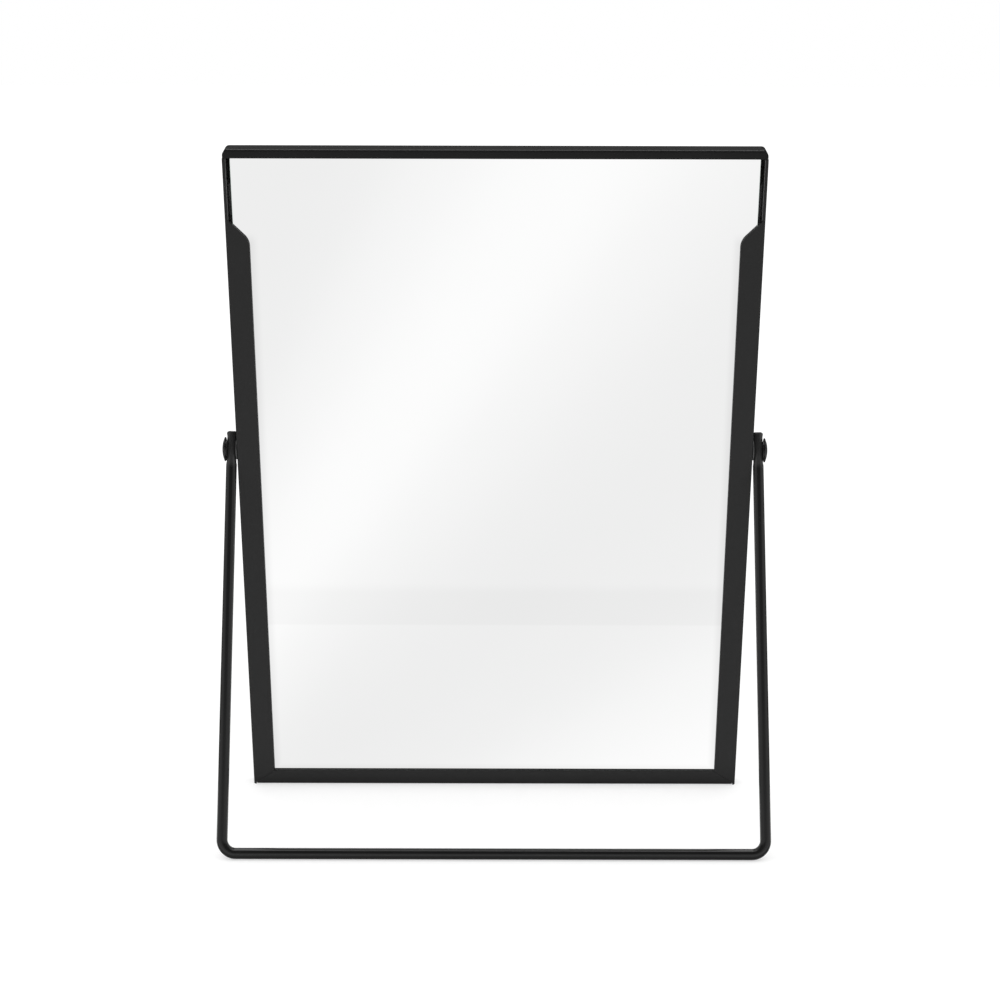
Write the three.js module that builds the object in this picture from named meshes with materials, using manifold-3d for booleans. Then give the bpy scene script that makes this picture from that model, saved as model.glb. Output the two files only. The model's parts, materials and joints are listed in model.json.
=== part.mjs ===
// A countertop mirror: a glass plate in a folded sheet-steel frame, hung between the legs of a
// U-shaped rod stand. The frame tilts on two pivot screws, and its bottom edge rests on the counter.
//
// Units are millimetres, +Z is up and the mirror faces -Y. The origin is on the counter, under the
// middle of the whole object.

import * as THREE from 'three';
import { mergeVertices } from 'three/addons/utils/BufferGeometryUtils.js';
import Module from 'manifold-3d';

// ---------- Driving dimensions ----------

// Frame, measured square to the mirror. Its depth follows from what it holds.
const FRAME_WIDTH = 228.6;
const FRAME_HEIGHT = 304.8;
const SHEET = 1.2;
const BEND_RADIUS = 1.0;
const SIDE_FLANGE = 10.0;
const BOTTOM_FLANGE = 7.2;
const MITRE_GAP = 0.3;

// The front flange stops short of the top, with a 45 degree end that has one rounded corner.
const NOTCH_DEPTH = 39.0;
const NOTCH_RADIUS = 7.0;

// Top rail, a cap over the open ends of the side channels.
const RAIL_LIP = 3.7;
const RAIL_INSET = 0.3;
const RAIL_CORNER_RADIUS = 2.4;
const RAIL_TONGUE = 15.8;

// Glass and what holds it.
const GLASS_EDGE_GAP = 2.0;
const GLASS_THICKNESS = 3.0;
const GLASS_ARRIS = 0.2;
const RAIL_OVERLAP = 1.15;
const BOARD_THICKNESS = 2.0;
const TAPE_WIDTH = 6.4;
const TAPE_THICKNESS = 0.9;
const BLOCK_THICKNESS = 2.0;
const BLOCK_LENGTH = 20.0;
const BLOCK_SPACING = 110.0;
const CLIP_LEG = 24.0;
const CLIP_THICKNESS = 1.2;

// Rivets through the rail's tongue.
const RIVET_SHANK = 2.8;
const RIVET_HEAD = 5.6;
const RIVET_HEAD_HEIGHT = 1.1;
const RIVET_TAIL = 0.8;

// Pivots.
const PIVOT_BELOW_TOP = 135.8;
const SCREW_SHANK = 3.0;
const SCREW_HEAD = 10.8;
const SCREW_HEAD_HEIGHT = 1.5;
const SCREW_RIM = 0.4;
const SCREW_SOCKET = 2.0;
const SCREW_SOCKET_DEPTH = 0.9;
const PLATE_LENGTH = 18.0;
const FRICTION_WASHER_DIAMETER = 9.0;
const SPRING_WASHER = 0.4;
const SPRING_WASHER_DIAMETER = 7.6;

// Stand.
const ROD = 4.76;
const ROD_BEND_RADIUS = 6.0;
const LEG_ABOVE_PIVOT = 7.9;
const EYE_THICKNESS = 4.1;
const EYE_WIDTH = 6.0;
const EYE_RUNOUT = 1.7;
const ROD_CHAMFER = 0.5;
const LEG_CLEARANCE = 0.35;
const SWING_CLEARANCE = 5.8;

// Pose on the counter.
const PANEL_LEAN = THREE.MathUtils.degToRad(10.8);

// Clearances.
const FIT_GAP = 0.3;
const WASHER_GAP = 0.1;
const RUNNING_GAP = 0.15;

// How far the cutting shapes reach past what they cut.
const CUT_MARGIN = 3.0;

// Fineness of round shapes.
const BEND_STEPS = 4;
const ROUND_STEPS = 32;
const ROD_SIDES = 20;
const RUNOUT_STEPS = 4;

// ---------- Sizes worked out from them ----------

const HALF_WIDTH = FRAME_WIDTH / 2;
const STACK = GLASS_THICKNESS + TAPE_THICKNESS + BOARD_THICKNESS;
const FRAME_DEPTH = STACK + 4 * FIT_GAP + 2 * SHEET;
const HALF_DEPTH = FRAME_DEPTH / 2;
const TOP = PIVOT_BELOW_TOP;
const BOTTOM = PIVOT_BELOW_TOP - FRAME_HEIGHT;
const WEB_INNER = HALF_WIDTH - SHEET;
const FLANGE_INNER = HALF_WIDTH - SIDE_FLANGE;
const FLANGE_TOP = BOTTOM + BOTTOM_FLANGE;
const FRONT_INNER = -(HALF_DEPTH - SHEET);
const BACK_INNER = HALF_DEPTH - SHEET;
const INNER_HALF = BACK_INNER - FIT_GAP;
const CHANNEL_TOP = TOP - RAIL_LIP - FIT_GAP;
const RAIL_TOP_INNER = TOP - SHEET;

const GLASS_HALF = WEB_INNER - GLASS_EDGE_GAP;
const GLASS_FRONT = FRONT_INNER + FIT_GAP;
const GLASS_BACK = GLASS_FRONT + GLASS_THICKNESS;
const CHANNEL_FLOOR = BOTTOM + SHEET + FIT_GAP;
const GLASS_BOTTOM = CHANNEL_FLOOR + BLOCK_THICKNESS + FIT_GAP;
const GLASS_TOP = TOP - RAIL_LIP + RAIL_OVERLAP;

const TONGUE_BOTTOM = TOP - RAIL_TONGUE;
const TONGUE_BACK = BACK_INNER - FIT_GAP;
const TONGUE_FRONT = TONGUE_BACK - SHEET;
const BOARD_BACK = BACK_INNER - FIT_GAP;
const BOARD_FRONT = BOARD_BACK - BOARD_THICKNESS;
const BOARD_TOP = TONGUE_BOTTOM - FIT_GAP;
const RIVET_X = (FLANGE_INNER + WEB_INNER) / 2 + FIT_GAP;
const RIVET_Z = (TONGUE_BOTTOM + CHANNEL_TOP) / 2;

const PIVOT_HOLE = SCREW_SHANK + 2 * RUNNING_GAP;
const PLATE_THICKNESS = GLASS_EDGE_GAP - 2 * FIT_GAP;
const LEG_X = HALF_WIDTH + LEG_CLEARANCE + ROD / 2;
const EYE_HALF_LENGTH = SCREW_HEAD / 2 + FIT_GAP;
const EYE_OUTER = LEG_X + EYE_THICKNESS / 2;
const LEG_LENGTH = -BOTTOM + SWING_CLEARANCE + ROD / 2;
const SPRING_WASHER_X = EYE_OUTER + WASHER_GAP;
const SCREW_HEAD_X = SPRING_WASHER_X + SPRING_WASHER + WASHER_GAP;
const SCREW_TIP_X = GLASS_HALF + FIT_GAP;
const FRICTION_WASHER_X = HALF_WIDTH + WASHER_GAP;
const FRICTION_WASHER = LEG_X - EYE_THICKNESS / 2 - WASHER_GAP - FRICTION_WASHER_X;

// ---------- Materials ----------

function material(color, roughness, metalness) {
  return new THREE.MeshStandardMaterial({ color, roughness, metalness });
}

const BLACK_PAINT = () => material(0x2d2d2d, 0.5, 0.2);
const BLACK_ROD = () => material(0x202020, 0.4, 0.3);
const SILVERED_GLASS = () => material(0xf2f4f4, 0.03, 1.0);
const HARDBOARD = () => material(0x6b4a30, 0.85, 0.0);
const FOAM = () => material(0x3a3a3c, 0.95, 0.0);
const RUBBER = () => material(0x1c1c1c, 0.8, 0.0);
const ZINC = () => material(0x9a9da0, 0.4, 0.9);
const NYLON = () => material(0x232323, 0.55, 0.0);
const BLACK_STEEL = () => material(0x2c2c2e, 0.4, 0.8);

// ---------- Solids: joining and cutting ----------

const wasm = await Module();
wasm.setup();

function solid(geometry) {
  const bare = geometry.index ? geometry.toNonIndexed() : geometry.clone();
  bare.deleteAttribute('normal');
  bare.deleteAttribute('uv');
  const merged = mergeVertices(bare, 1e-4);
  return new wasm.Manifold(
    new wasm.Mesh({
      numProp: 3,
      vertProperties: new Float32Array(merged.attributes.position.array),
      triVerts: new Uint32Array(merged.index.array),
    }),
  );
}

function geometryOf(body) {
  const mesh = body.getMesh();
  const geometry = new THREE.BufferGeometry();
  geometry.setAttribute('position', new THREE.BufferAttribute(mesh.vertProperties, 3));
  geometry.setIndex(new THREE.BufferAttribute(mesh.triVerts, 1));
  geometry.computeVertexNormals();
  return geometry;
}

function meshOf(name, shape, surface) {
  const geometry = shape.isBufferGeometry ? shape : geometryOf(shape);
  const mesh = new THREE.Mesh(geometry, surface);
  mesh.name = name;
  return mesh;
}

// ---------- Basic shapes ----------

const X_AXIS = new THREE.Vector3(1, 0, 0);
const Y_AXIS = new THREE.Vector3(0, 1, 0);
const Z_AXIS = new THREE.Vector3(0, 0, 1);
const SIDES = [-1, 1];

function sideName(side) {
  return side < 0 ? 'left' : 'right';
}

// A box between two corners.
function block(low, high) {
  const [width, depth, height] = high.map((value, i) => value - low[i]);
  const geometry = new THREE.BoxGeometry(width, depth, height);
  return geometry.translate(low[0] + width / 2, low[1] + depth / 2, low[2] + height / 2);
}

// The same box on the left or the right: x is counted outward from the middle.
function sideBlock(side, low, high) {
  const x = [side * low[0], side * high[0]].sort((a, b) => a - b);
  return block([x[0], low[1], low[2]], [x[1], high[1], high[2]]);
}

// A flat outline drawn in X and Z, given a thickness from front to back.
function plate(shape, front, back) {
  const geometry = new THREE.ExtrudeGeometry(shape, {
    depth: back - front,
    bevelEnabled: false,
    curveSegments: 2 * BEND_STEPS,
  });
  return geometry.rotateX(Math.PI / 2).translate(0, back, 0);
}

function polygon(side, points) {
  return new THREE.Shape(points.map(([x, z]) => new THREE.Vector2(side * x, z)));
}

// A profile of (radius, height) pairs turned about a line along X, on the left or the right.
// Height is counted outward from startX.
function turned(side, startX, profile) {
  const points = profile.map(([radius, height]) => new THREE.Vector2(radius, height));
  const geometry = new THREE.LatheGeometry(points, ROUND_STEPS);
  return geometry.rotateZ(-side * Math.PI / 2).translate(side * startX, 0, 0);
}

// A round bar along X, for cutting holes.
function boreAlongX(side, diameter, startX, endX) {
  return turned(side, startX, [
    [0, 0],
    [diameter / 2, 0],
    [diameter / 2, endX - startX],
    [0, endX - startX],
  ]);
}

function washer(side, startX, thickness, diameter) {
  return turned(side, startX, [
    [PIVOT_HOLE / 2, 0],
    [diameter / 2, 0],
    [diameter / 2, thickness],
    [PIVOT_HOLE / 2, thickness],
    [PIVOT_HOLE / 2, 0],
  ]);
}

// ---------- Frame channels ----------

// The U of a folded channel. Its first axis runs inward from the web's outer face, and its
// second runs across the frame's depth.
function channelSection(flange) {
  const shape = new THREE.Shape();
  shape.moveTo(flange, -HALF_DEPTH);
  shape.lineTo(flange, -HALF_DEPTH + SHEET);
  shape.lineTo(SHEET, -HALF_DEPTH + SHEET);
  shape.lineTo(SHEET, HALF_DEPTH - SHEET);
  shape.lineTo(flange, HALF_DEPTH - SHEET);
  shape.lineTo(flange, HALF_DEPTH);
  shape.lineTo(BEND_RADIUS, HALF_DEPTH);
  shape.absarc(BEND_RADIUS, HALF_DEPTH - BEND_RADIUS, BEND_RADIUS, Math.PI / 2, Math.PI, false);
  shape.lineTo(0, -HALF_DEPTH + BEND_RADIUS);
  shape.absarc(BEND_RADIUS, -HALF_DEPTH + BEND_RADIUS, BEND_RADIUS, Math.PI, 1.5 * Math.PI, false);
  shape.closePath();
  return shape;
}

function channel(flange, length, inward, across, along, start) {
  const geometry = new THREE.ExtrudeGeometry(channelSection(flange), {
    depth: length,
    bevelEnabled: false,
    curveSegments: BEND_STEPS,
  });
  const place = new THREE.Matrix4().makeBasis(inward, across, along);
  return geometry.applyMatrix4(place.setPosition(start));
}

// Where the side and bottom flanges meet, the joint runs from the inner corner to the outer one.
// `shift` moves the line down, towards the bottom channel.
function mitreHeight(x, shift) {
  const slope = (FLANGE_TOP - BOTTOM) / (FLANGE_INNER - HALF_WIDTH);
  return BOTTOM + slope * (x - HALF_WIDTH) - shift;
}

// Everything under the mitre line, as far out as the web's inner face.
function underMitre(side) {
  const inner = FLANGE_INNER - CUT_MARGIN;
  return plate(
    polygon(side, [
      [inner, BOTTOM - CUT_MARGIN],
      [WEB_INNER, BOTTOM - CUT_MARGIN],
      [WEB_INNER, mitreHeight(WEB_INNER, 0)],
      [inner, mitreHeight(inner, 0)],
    ]),
    -FRAME_DEPTH,
    FRAME_DEPTH,
  );
}

// Everything over the mitre line and its gap, out past the bottom channel's end.
function overMitre(side) {
  const inner = FLANGE_INNER - CUT_MARGIN;
  const outer = HALF_WIDTH + CUT_MARGIN;
  return plate(
    polygon(side, [
      [inner, mitreHeight(inner, MITRE_GAP)],
      [outer, mitreHeight(outer, MITRE_GAP)],
      [outer, FLANGE_TOP + 2 * CUT_MARGIN],
      [inner, FLANGE_TOP + 2 * CUT_MARGIN],
    ]),
    -FRAME_DEPTH,
    FRAME_DEPTH,
  );
}

// The piece cut out of the front flange below the top rail.
function frontNotch(side) {
  const corner = TOP - NOTCH_DEPTH;
  const tangent = NOTCH_RADIUS * Math.tan(Math.PI / 8);
  const centreX = FLANGE_INNER + NOTCH_RADIUS;
  const centreZ = corner - tangent;
  const shape = new THREE.Shape();
  const outside = FLANGE_INNER - SHEET;
  shape.moveTo(side * outside, centreZ);
  shape.lineTo(side * FLANGE_INNER, centreZ);
  for (let i = 1; i <= 2 * BEND_STEPS; i += 1) {
    const angle = (Math.PI / 4) * (i / (2 * BEND_STEPS));
    const x = centreX - NOTCH_RADIUS * Math.cos(angle);
    shape.lineTo(side * x, centreZ + NOTCH_RADIUS * Math.sin(angle));
  }
  shape.lineTo(side * WEB_INNER, corner + WEB_INNER - FLANGE_INNER);
  shape.lineTo(side * WEB_INNER, TOP + SHEET);
  shape.lineTo(side * outside, TOP + SHEET);
  shape.closePath();
  return plate(shape, -FRAME_DEPTH, FRONT_INNER);
}

// From the middle of the frame's depth out through its back.
function rivetHole(side) {
  const diameter = RIVET_SHANK + 2 * FIT_GAP;
  const bore = new THREE.CylinderGeometry(diameter / 2, diameter / 2, FRAME_DEPTH, ROUND_STEPS / 2);
  return bore.translate(side * RIVET_X, FRAME_DEPTH / 2, RIVET_Z);
}

function sideChannel(side) {
  const inward = X_AXIS.clone().multiplyScalar(-side);
  const across = Y_AXIS.clone().multiplyScalar(-side);
  const start = new THREE.Vector3(side * HALF_WIDTH, 0, BOTTOM);
  const blank = channel(SIDE_FLANGE, CHANNEL_TOP - BOTTOM, inward, across, Z_AXIS, start);
  const body = solid(blank)
    .subtract(solid(underMitre(side)))
    .subtract(solid(frontNotch(side)))
    .subtract(solid(rivetHole(side)))
    .subtract(solid(boreAlongX(side, PIVOT_HOLE, FLANGE_INNER, HALF_WIDTH + SHEET)));
  return meshOf(`${sideName(side)}_side_channel`, body, BLACK_PAINT());
}

function bottomChannel() {
  const half = WEB_INNER - FIT_GAP;
  const start = new THREE.Vector3(-half, 0, BOTTOM);
  const across = Y_AXIS.clone().negate();
  const blank = channel(BOTTOM_FLANGE, 2 * half, Z_AXIS, across, X_AXIS, start);
  let body = solid(blank);
  for (const side of SIDES) body = body.subtract(solid(overMitre(side)));
  return meshOf('bottom_channel', body, BLACK_PAINT());
}

// ---------- Top rail ----------

// A long outline with two rounded top corners.
function cappedOutline(halfWidth, bottom, top, radius) {
  const shape = new THREE.Shape();
  shape.moveTo(-halfWidth, bottom);
  shape.lineTo(halfWidth, bottom);
  shape.lineTo(halfWidth, top - radius);
  shape.absarc(halfWidth - radius, top - radius, radius, 0, Math.PI / 2, false);
  shape.lineTo(-halfWidth + radius, top);
  shape.absarc(-halfWidth + radius, top - radius, radius, Math.PI / 2, Math.PI, false);
  shape.closePath();
  return shape;
}

// The rail's outside seen from its end, with both long top edges rounded.
function railEndBlank(halfWidth) {
  const shape = cappedOutline(HALF_DEPTH, TOP - RAIL_LIP, TOP, BEND_RADIUS);
  const geometry = new THREE.ExtrudeGeometry(shape, {
    depth: 2 * halfWidth,
    bevelEnabled: false,
    curveSegments: BEND_STEPS,
  });
  const place = new THREE.Matrix4().makeBasis(Y_AXIS, Z_AXIS, X_AXIS);
  return geometry.applyMatrix4(place.setPosition(-halfWidth, 0, 0));
}

function topRail() {
  const half = HALF_WIDTH - RAIL_INSET;
  const lipBottom = TOP - RAIL_LIP;
  const outline = cappedOutline(half, lipBottom - SHEET, TOP, RAIL_CORNER_RADIUS);
  const inside = cappedOutline(
    half - SHEET,
    lipBottom - SHEET,
    RAIL_TOP_INNER,
    RAIL_CORNER_RADIUS - SHEET,
  );
  const tongueHalf = WEB_INNER - FIT_GAP;
  const tongue = block(
    [-tongueHalf, TONGUE_FRONT, TONGUE_BOTTOM],
    [tongueHalf, TONGUE_BACK, RAIL_TOP_INNER + SHEET / 2],
  );
  let body = solid(railEndBlank(half))
    .intersect(solid(plate(outline, -FRAME_DEPTH, FRAME_DEPTH)))
    .subtract(solid(plate(inside, FRONT_INNER, BACK_INNER)))
    .add(solid(tongue));
  for (const side of SIDES) body = body.subtract(solid(rivetHole(side)));
  return meshOf('top_rail', body, BLACK_PAINT());
}

// The rivet's head is on the back of the frame, and its clenched tail is behind the glass.
function railRivet(side) {
  const head = HALF_DEPTH + WASHER_GAP;
  const tailBack = TONGUE_FRONT - WASHER_GAP;
  const tailFront = tailBack - RIVET_TAIL;
  const dome = [];
  for (let i = 0; i <= BEND_STEPS; i += 1) {
    const angle = (Math.PI / 2) * (i / BEND_STEPS);
    dome.push([
      Math.max((RIVET_HEAD / 2) * Math.cos(angle), 0),
      head + RIVET_HEAD_HEIGHT * Math.sin(angle),
    ]);
  }
  dome[dome.length - 1][0] = 0;
  const profile = [
    [0, tailFront],
    [RIVET_SHANK / 2 + RIVET_TAIL / 2, tailFront],
    [RIVET_SHANK / 2 + RIVET_TAIL, tailBack],
    [RIVET_SHANK / 2, tailBack],
    [RIVET_SHANK / 2, head],
    ...dome,
  ];
  const points = profile.map(([radius, height]) => new THREE.Vector2(radius, height));
  const geometry = new THREE.LatheGeometry(points, ROUND_STEPS / 2);
  geometry.translate(side * RIVET_X, 0, RIVET_Z);
  return meshOf(`${sideName(side)}_rail_rivet`, solid(geometry), BLACK_PAINT());
}

// ---------- Glass and backing ----------

function mirrorGlass() {
  const shape = new THREE.Shape();
  const half = GLASS_HALF - GLASS_ARRIS;
  shape.moveTo(-half, GLASS_BOTTOM + GLASS_ARRIS);
  shape.lineTo(half, GLASS_BOTTOM + GLASS_ARRIS);
  shape.lineTo(half, GLASS_TOP - GLASS_ARRIS);
  shape.lineTo(-half, GLASS_TOP - GLASS_ARRIS);
  shape.closePath();
  const geometry = new THREE.ExtrudeGeometry(shape, {
    depth: GLASS_THICKNESS - 2 * GLASS_ARRIS,
    bevelSize: GLASS_ARRIS,
    bevelThickness: GLASS_ARRIS,
    bevelSegments: 1,
  });
  geometry.rotateX(Math.PI / 2).translate(0, GLASS_BACK - GLASS_ARRIS, 0);
  return meshOf('mirror_glass', solid(geometry), SILVERED_GLASS());
}

function backingBoard() {
  const geometry = block(
    [-GLASS_HALF, BOARD_FRONT, GLASS_BOTTOM],
    [GLASS_HALF, BOARD_BACK, BOARD_TOP],
  );
  return meshOf('backing_board', geometry, HARDBOARD());
}

// Foam strips take up the space between the glass and the board, or the rail's tongue.
function foamTapes() {
  const front = GLASS_BACK + FIT_GAP;
  const back = BOARD_FRONT - FIT_GAP;
  const outer = GLASS_HALF - FIT_GAP;
  const low = GLASS_BOTTOM + FIT_GAP;
  const tapes = SIDES.map((side) => {
    const strip = sideBlock(
      side,
      [outer - TAPE_WIDTH, front, low + TAPE_WIDTH + FIT_GAP],
      [outer, back, BOARD_TOP - FIT_GAP],
    );
    return meshOf(`${sideName(side)}_foam_tape`, strip, FOAM());
  });
  const bottom = block([-outer, front, low], [outer, back, low + TAPE_WIDTH]);
  const middle = (TONGUE_BOTTOM + GLASS_TOP) / 2;
  const topHalf = RIVET_X - RIVET_HEAD / 2 - FIT_GAP;
  const top = block(
    [-topHalf, front, middle - TAPE_WIDTH / 2],
    [topHalf, TONGUE_FRONT - FIT_GAP, middle + TAPE_WIDTH / 2],
  );
  tapes.push(meshOf('bottom_foam_tape', bottom, FOAM()));
  tapes.push(meshOf('top_foam_tape', top, FOAM()));
  return tapes;
}

function settingBlock(side) {
  const middle = BLOCK_SPACING / 2;
  const geometry = sideBlock(
    side,
    [middle - BLOCK_LENGTH / 2, -INNER_HALF, CHANNEL_FLOOR],
    [middle + BLOCK_LENGTH / 2, INNER_HALF, CHANNEL_FLOOR + BLOCK_THICKNESS],
  );
  return meshOf(`${sideName(side)}_setting_block`, geometry, RUBBER());
}

// An L-shaped strip inside each bottom corner, spot-welded to both channels' webs.
function cornerClip(side) {
  const outer = WEB_INNER - FIT_GAP;
  const inner = outer - CLIP_THICKNESS;
  const low = CHANNEL_FLOOR;
  const high = low + CLIP_THICKNESS;
  const geometry = plate(
    polygon(side, [
      [outer, low],
      [outer, low + CLIP_LEG],
      [inner, low + CLIP_LEG],
      [inner, high],
      [outer - CLIP_LEG, high],
      [outer - CLIP_LEG, low],
    ]),
    -INNER_HALF,
    INNER_HALF,
  );
  return meshOf(`${sideName(side)}_corner_clip`, solid(geometry), ZINC());
}

// ---------- Pivots ----------

// A tapped plate inside each side channel takes the pivot screw.
function pivotPlate(side) {
  const outer = WEB_INNER - FIT_GAP;
  const blank = sideBlock(
    side,
    [outer - PLATE_THICKNESS, -INNER_HALF, -PLATE_LENGTH / 2],
    [outer, INNER_HALF, PLATE_LENGTH / 2],
  );
  const hole = boreAlongX(side, PIVOT_HOLE, FLANGE_INNER, HALF_WIDTH);
  return meshOf(`${sideName(side)}_pivot_plate`, solid(blank).subtract(solid(hole)), ZINC());
}

// A low domed head outside the leg, with a hexagon socket, on a plain shank.
function pivotScrew(side) {
  const reach = SCREW_HEAD_X - SCREW_TIP_X;
  const radius = SCREW_HEAD / 2;
  const rise = SCREW_HEAD_HEIGHT - SCREW_RIM;
  const sphere = (radius * radius + rise * rise) / (2 * rise);
  const profile = [
    [0, 0],
    [SCREW_SHANK / 2, 0],
    [SCREW_SHANK / 2, reach],
    [radius, reach],
  ];
  const steps = 2 * BEND_STEPS;
  const spread = Math.asin(radius / sphere);
  for (let i = 0; i <= steps; i += 1) {
    const angle = spread * (1 - i / steps);
    const height = reach + SCREW_RIM + sphere * (Math.cos(angle) - Math.cos(spread));
    profile.push([i === steps ? 0 : sphere * Math.sin(angle), height]);
  }
  const across = SCREW_SOCKET / Math.sqrt(3);
  const socket = new THREE.CylinderGeometry(across, across, SCREW_SOCKET_DEPTH * 2, 6);
  socket.rotateZ(Math.PI / 2);
  socket.translate(side * (SCREW_HEAD_X + SCREW_HEAD_HEIGHT), 0, 0);
  const body = solid(turned(side, SCREW_TIP_X, profile)).subtract(solid(socket));
  return meshOf(`${sideName(side)}_pivot_screw`, body, BLACK_ROD());
}

function frictionWasher(side) {
  const shape = washer(side, FRICTION_WASHER_X, FRICTION_WASHER, FRICTION_WASHER_DIAMETER);
  return meshOf(`${sideName(side)}_friction_washer`, solid(shape), NYLON());
}

function springWasher(side) {
  const shape = washer(side, SPRING_WASHER_X, SPRING_WASHER, SPRING_WASHER_DIAMETER);
  return meshOf(`${sideName(side)}_spring_washer`, solid(shape), BLACK_STEEL());
}

// ---------- Stand ----------

// The rod's centre line, as a curve whose steps fall where the shape needs them: close together
// on the bends and round the eyes, and far apart on the straight runs.
class RodLine extends THREE.Curve {
  constructor(stations) {
    super();
    this.stations = stations;
  }

  getPoint(t, target = new THREE.Vector3()) {
    const last = this.stations.length - 1;
    const i = Math.min(Math.floor(t * last + 1e-9), last - 1);
    return target.lerpVectors(this.stations[i].point, this.stations[i + 1].point, t * last - i);
  }

  getTangent(t, target = new THREE.Vector3()) {
    return target.copy(this.stations[Math.round(t * (this.stations.length - 1))].tangent);
  }

  getUtoTmapping(u) {
    return u;
  }
}

function legStations() {
  const heights = [LEG_ABOVE_PIVOT, LEG_ABOVE_PIVOT - ROD_CHAMFER];
  const edge = EYE_HALF_LENGTH + EYE_RUNOUT;
  const half = EYE_WIDTH / 2;
  for (let i = 0; i <= RUNOUT_STEPS; i += 1) heights.push(edge - (EYE_RUNOUT * i) / RUNOUT_STEPS);
  for (let i = 1; i < 2 * BEND_STEPS; i += 1) {
    heights.push(half * Math.cos((Math.PI * i) / (2 * BEND_STEPS)));
  }
  for (let i = RUNOUT_STEPS; i >= 0; i -= 1) heights.push((EYE_RUNOUT * i) / RUNOUT_STEPS - edge);
  return heights.map((z) => ({
    point: new THREE.Vector3(-LEG_X, 0, z),
    tangent: new THREE.Vector3(0, 0, -1),
  }));
}

function bendStations() {
  const stations = [];
  const centreX = -LEG_X + ROD_BEND_RADIUS;
  const centreZ = -LEG_LENGTH + ROD_BEND_RADIUS;
  const steps = 2 * BEND_STEPS;
  for (let i = 0; i <= steps; i += 1) {
    const angle = (Math.PI / 2) * (i / steps);
    const x = centreX - ROD_BEND_RADIUS * Math.cos(angle);
    const z = centreZ - ROD_BEND_RADIUS * Math.sin(angle);
    stations.push({
      point: new THREE.Vector3(x, 0, z),
      tangent: new THREE.Vector3(Math.sin(angle), 0, -Math.cos(angle)),
    });
  }
  return stations;
}

// The second half of the rod is the first one's mirror image, run backwards.
function mirrored(stations) {
  return stations
    .map(({ point, tangent }) => ({
      point: new THREE.Vector3(-point.x, point.y, point.z),
      tangent: new THREE.Vector3(tangent.x, tangent.y, -tangent.z),
    }))
    .reverse();
}

function smooth(t) {
  const clamped = THREE.MathUtils.clamp(t, 0, 1);
  return clamped * clamped * (3 - 2 * clamped);
}

// Presses the rod flat round each pivot and takes the sharp edge off each end.
function pressEyes(geometry) {
  const position = geometry.attributes.position;
  for (let i = 0; i < position.count; i += 1) {
    const z = position.getZ(i);
    const side = Math.sign(position.getX(i));
    if (z < -EYE_HALF_LENGTH - EYE_RUNOUT) continue;
    let across = position.getX(i) - side * LEG_X;
    let deep = position.getY(i);
    const press = 1 - smooth((Math.abs(z) - EYE_HALF_LENGTH) / EYE_RUNOUT);
    const limit = THREE.MathUtils.lerp(ROD / 2, EYE_THICKNESS / 2, press);
    across = THREE.MathUtils.clamp(across, -limit, limit);
    const reach = EYE_HALF_LENGTH + EYE_RUNOUT;
    const bulge = smooth(1 - Math.abs(z) / reach);
    deep *= THREE.MathUtils.lerp(1, EYE_WIDTH / ROD, bulge);
    const fromEnd = LEG_ABOVE_PIVOT - z;
    const trim = 1 - Math.max(0, 1 - fromEnd / ROD_CHAMFER) * (ROD_CHAMFER / (ROD / 2));
    position.setXYZ(i, side * LEG_X + across * trim, deep * trim, z);
  }
  return geometry;
}

function standFrame() {
  const half = [...legStations(), ...bendStations()];
  const line = new RodLine([...half, ...mirrored(half)]);
  const circle = new THREE.Shape();
  circle.absarc(0, 0, ROD / 2, 0, 2 * Math.PI, false);
  const rod = new THREE.ExtrudeGeometry(circle, {
    extrudePath: line,
    steps: line.stations.length - 1,
    curveSegments: ROD_SIDES,
  });
  let body = solid(pressEyes(rod));
  for (const side of SIDES) {
    body = body.subtract(solid(boreAlongX(side, PIVOT_HOLE, HALF_WIDTH, LEG_X + ROD)));
  }
  return meshOf('stand_frame', body, BLACK_ROD());
}

// ---------- Assembly ----------

// Everything that tilts, drawn upright with the pivots' line through its origin.
const panel = new THREE.Group();
panel.add(...SIDES.map(sideChannel), bottomChannel(), topRail());
panel.add(mirrorGlass(), backingBoard(), ...foamTapes());
panel.add(...SIDES.map(settingBlock), ...SIDES.map(cornerClip));
panel.add(...SIDES.map(railRivet), ...SIDES.map(pivotPlate), ...SIDES.map(pivotScrew));

// The stand, also drawn upright round the pivots' line.
const stand = new THREE.Group();
stand.add(standFrame(), ...SIDES.map(frictionWasher), ...SIDES.map(springWasher));

// The frame leans forward until its bottom edge is at its lowest, and the legs lean the other way
// until the stand's bar is on the same counter.
panel.rotation.x = PANEL_LEAN;
const pivotHeight = -new THREE.Box3().setFromObject(panel, true).min.z;
stand.rotation.x = -Math.acos((pivotHeight - ROD / 2) / LEG_LENGTH);
panel.position.z = pivotHeight;
stand.position.z = pivotHeight;

const group = new THREE.Group();
group.add(panel, stand);
const middle = new THREE.Box3().setFromObject(group, true).getCenter(new THREE.Vector3());
panel.position.y = -middle.y;
stand.position.y = -middle.y;

export default group;
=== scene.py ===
# %% [markdown]
# # A countertop mirror
#
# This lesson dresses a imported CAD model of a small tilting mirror. The real one has four kinds of
# maker's work in it: sheet steel that is folded into channels, a rod that is bent into a stand,
# glass that is cut, ground and silvered, and small turned parts that hold them together.
#
# The CAD model says where everything is. Each step below measures what it needs from that model,
# builds one piece with the fine detail that a CAD solid leaves out, and gives it a finish.

import json
import math

import bmesh
import bpy
import numpy as np
from mathutils import Matrix, Vector


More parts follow.
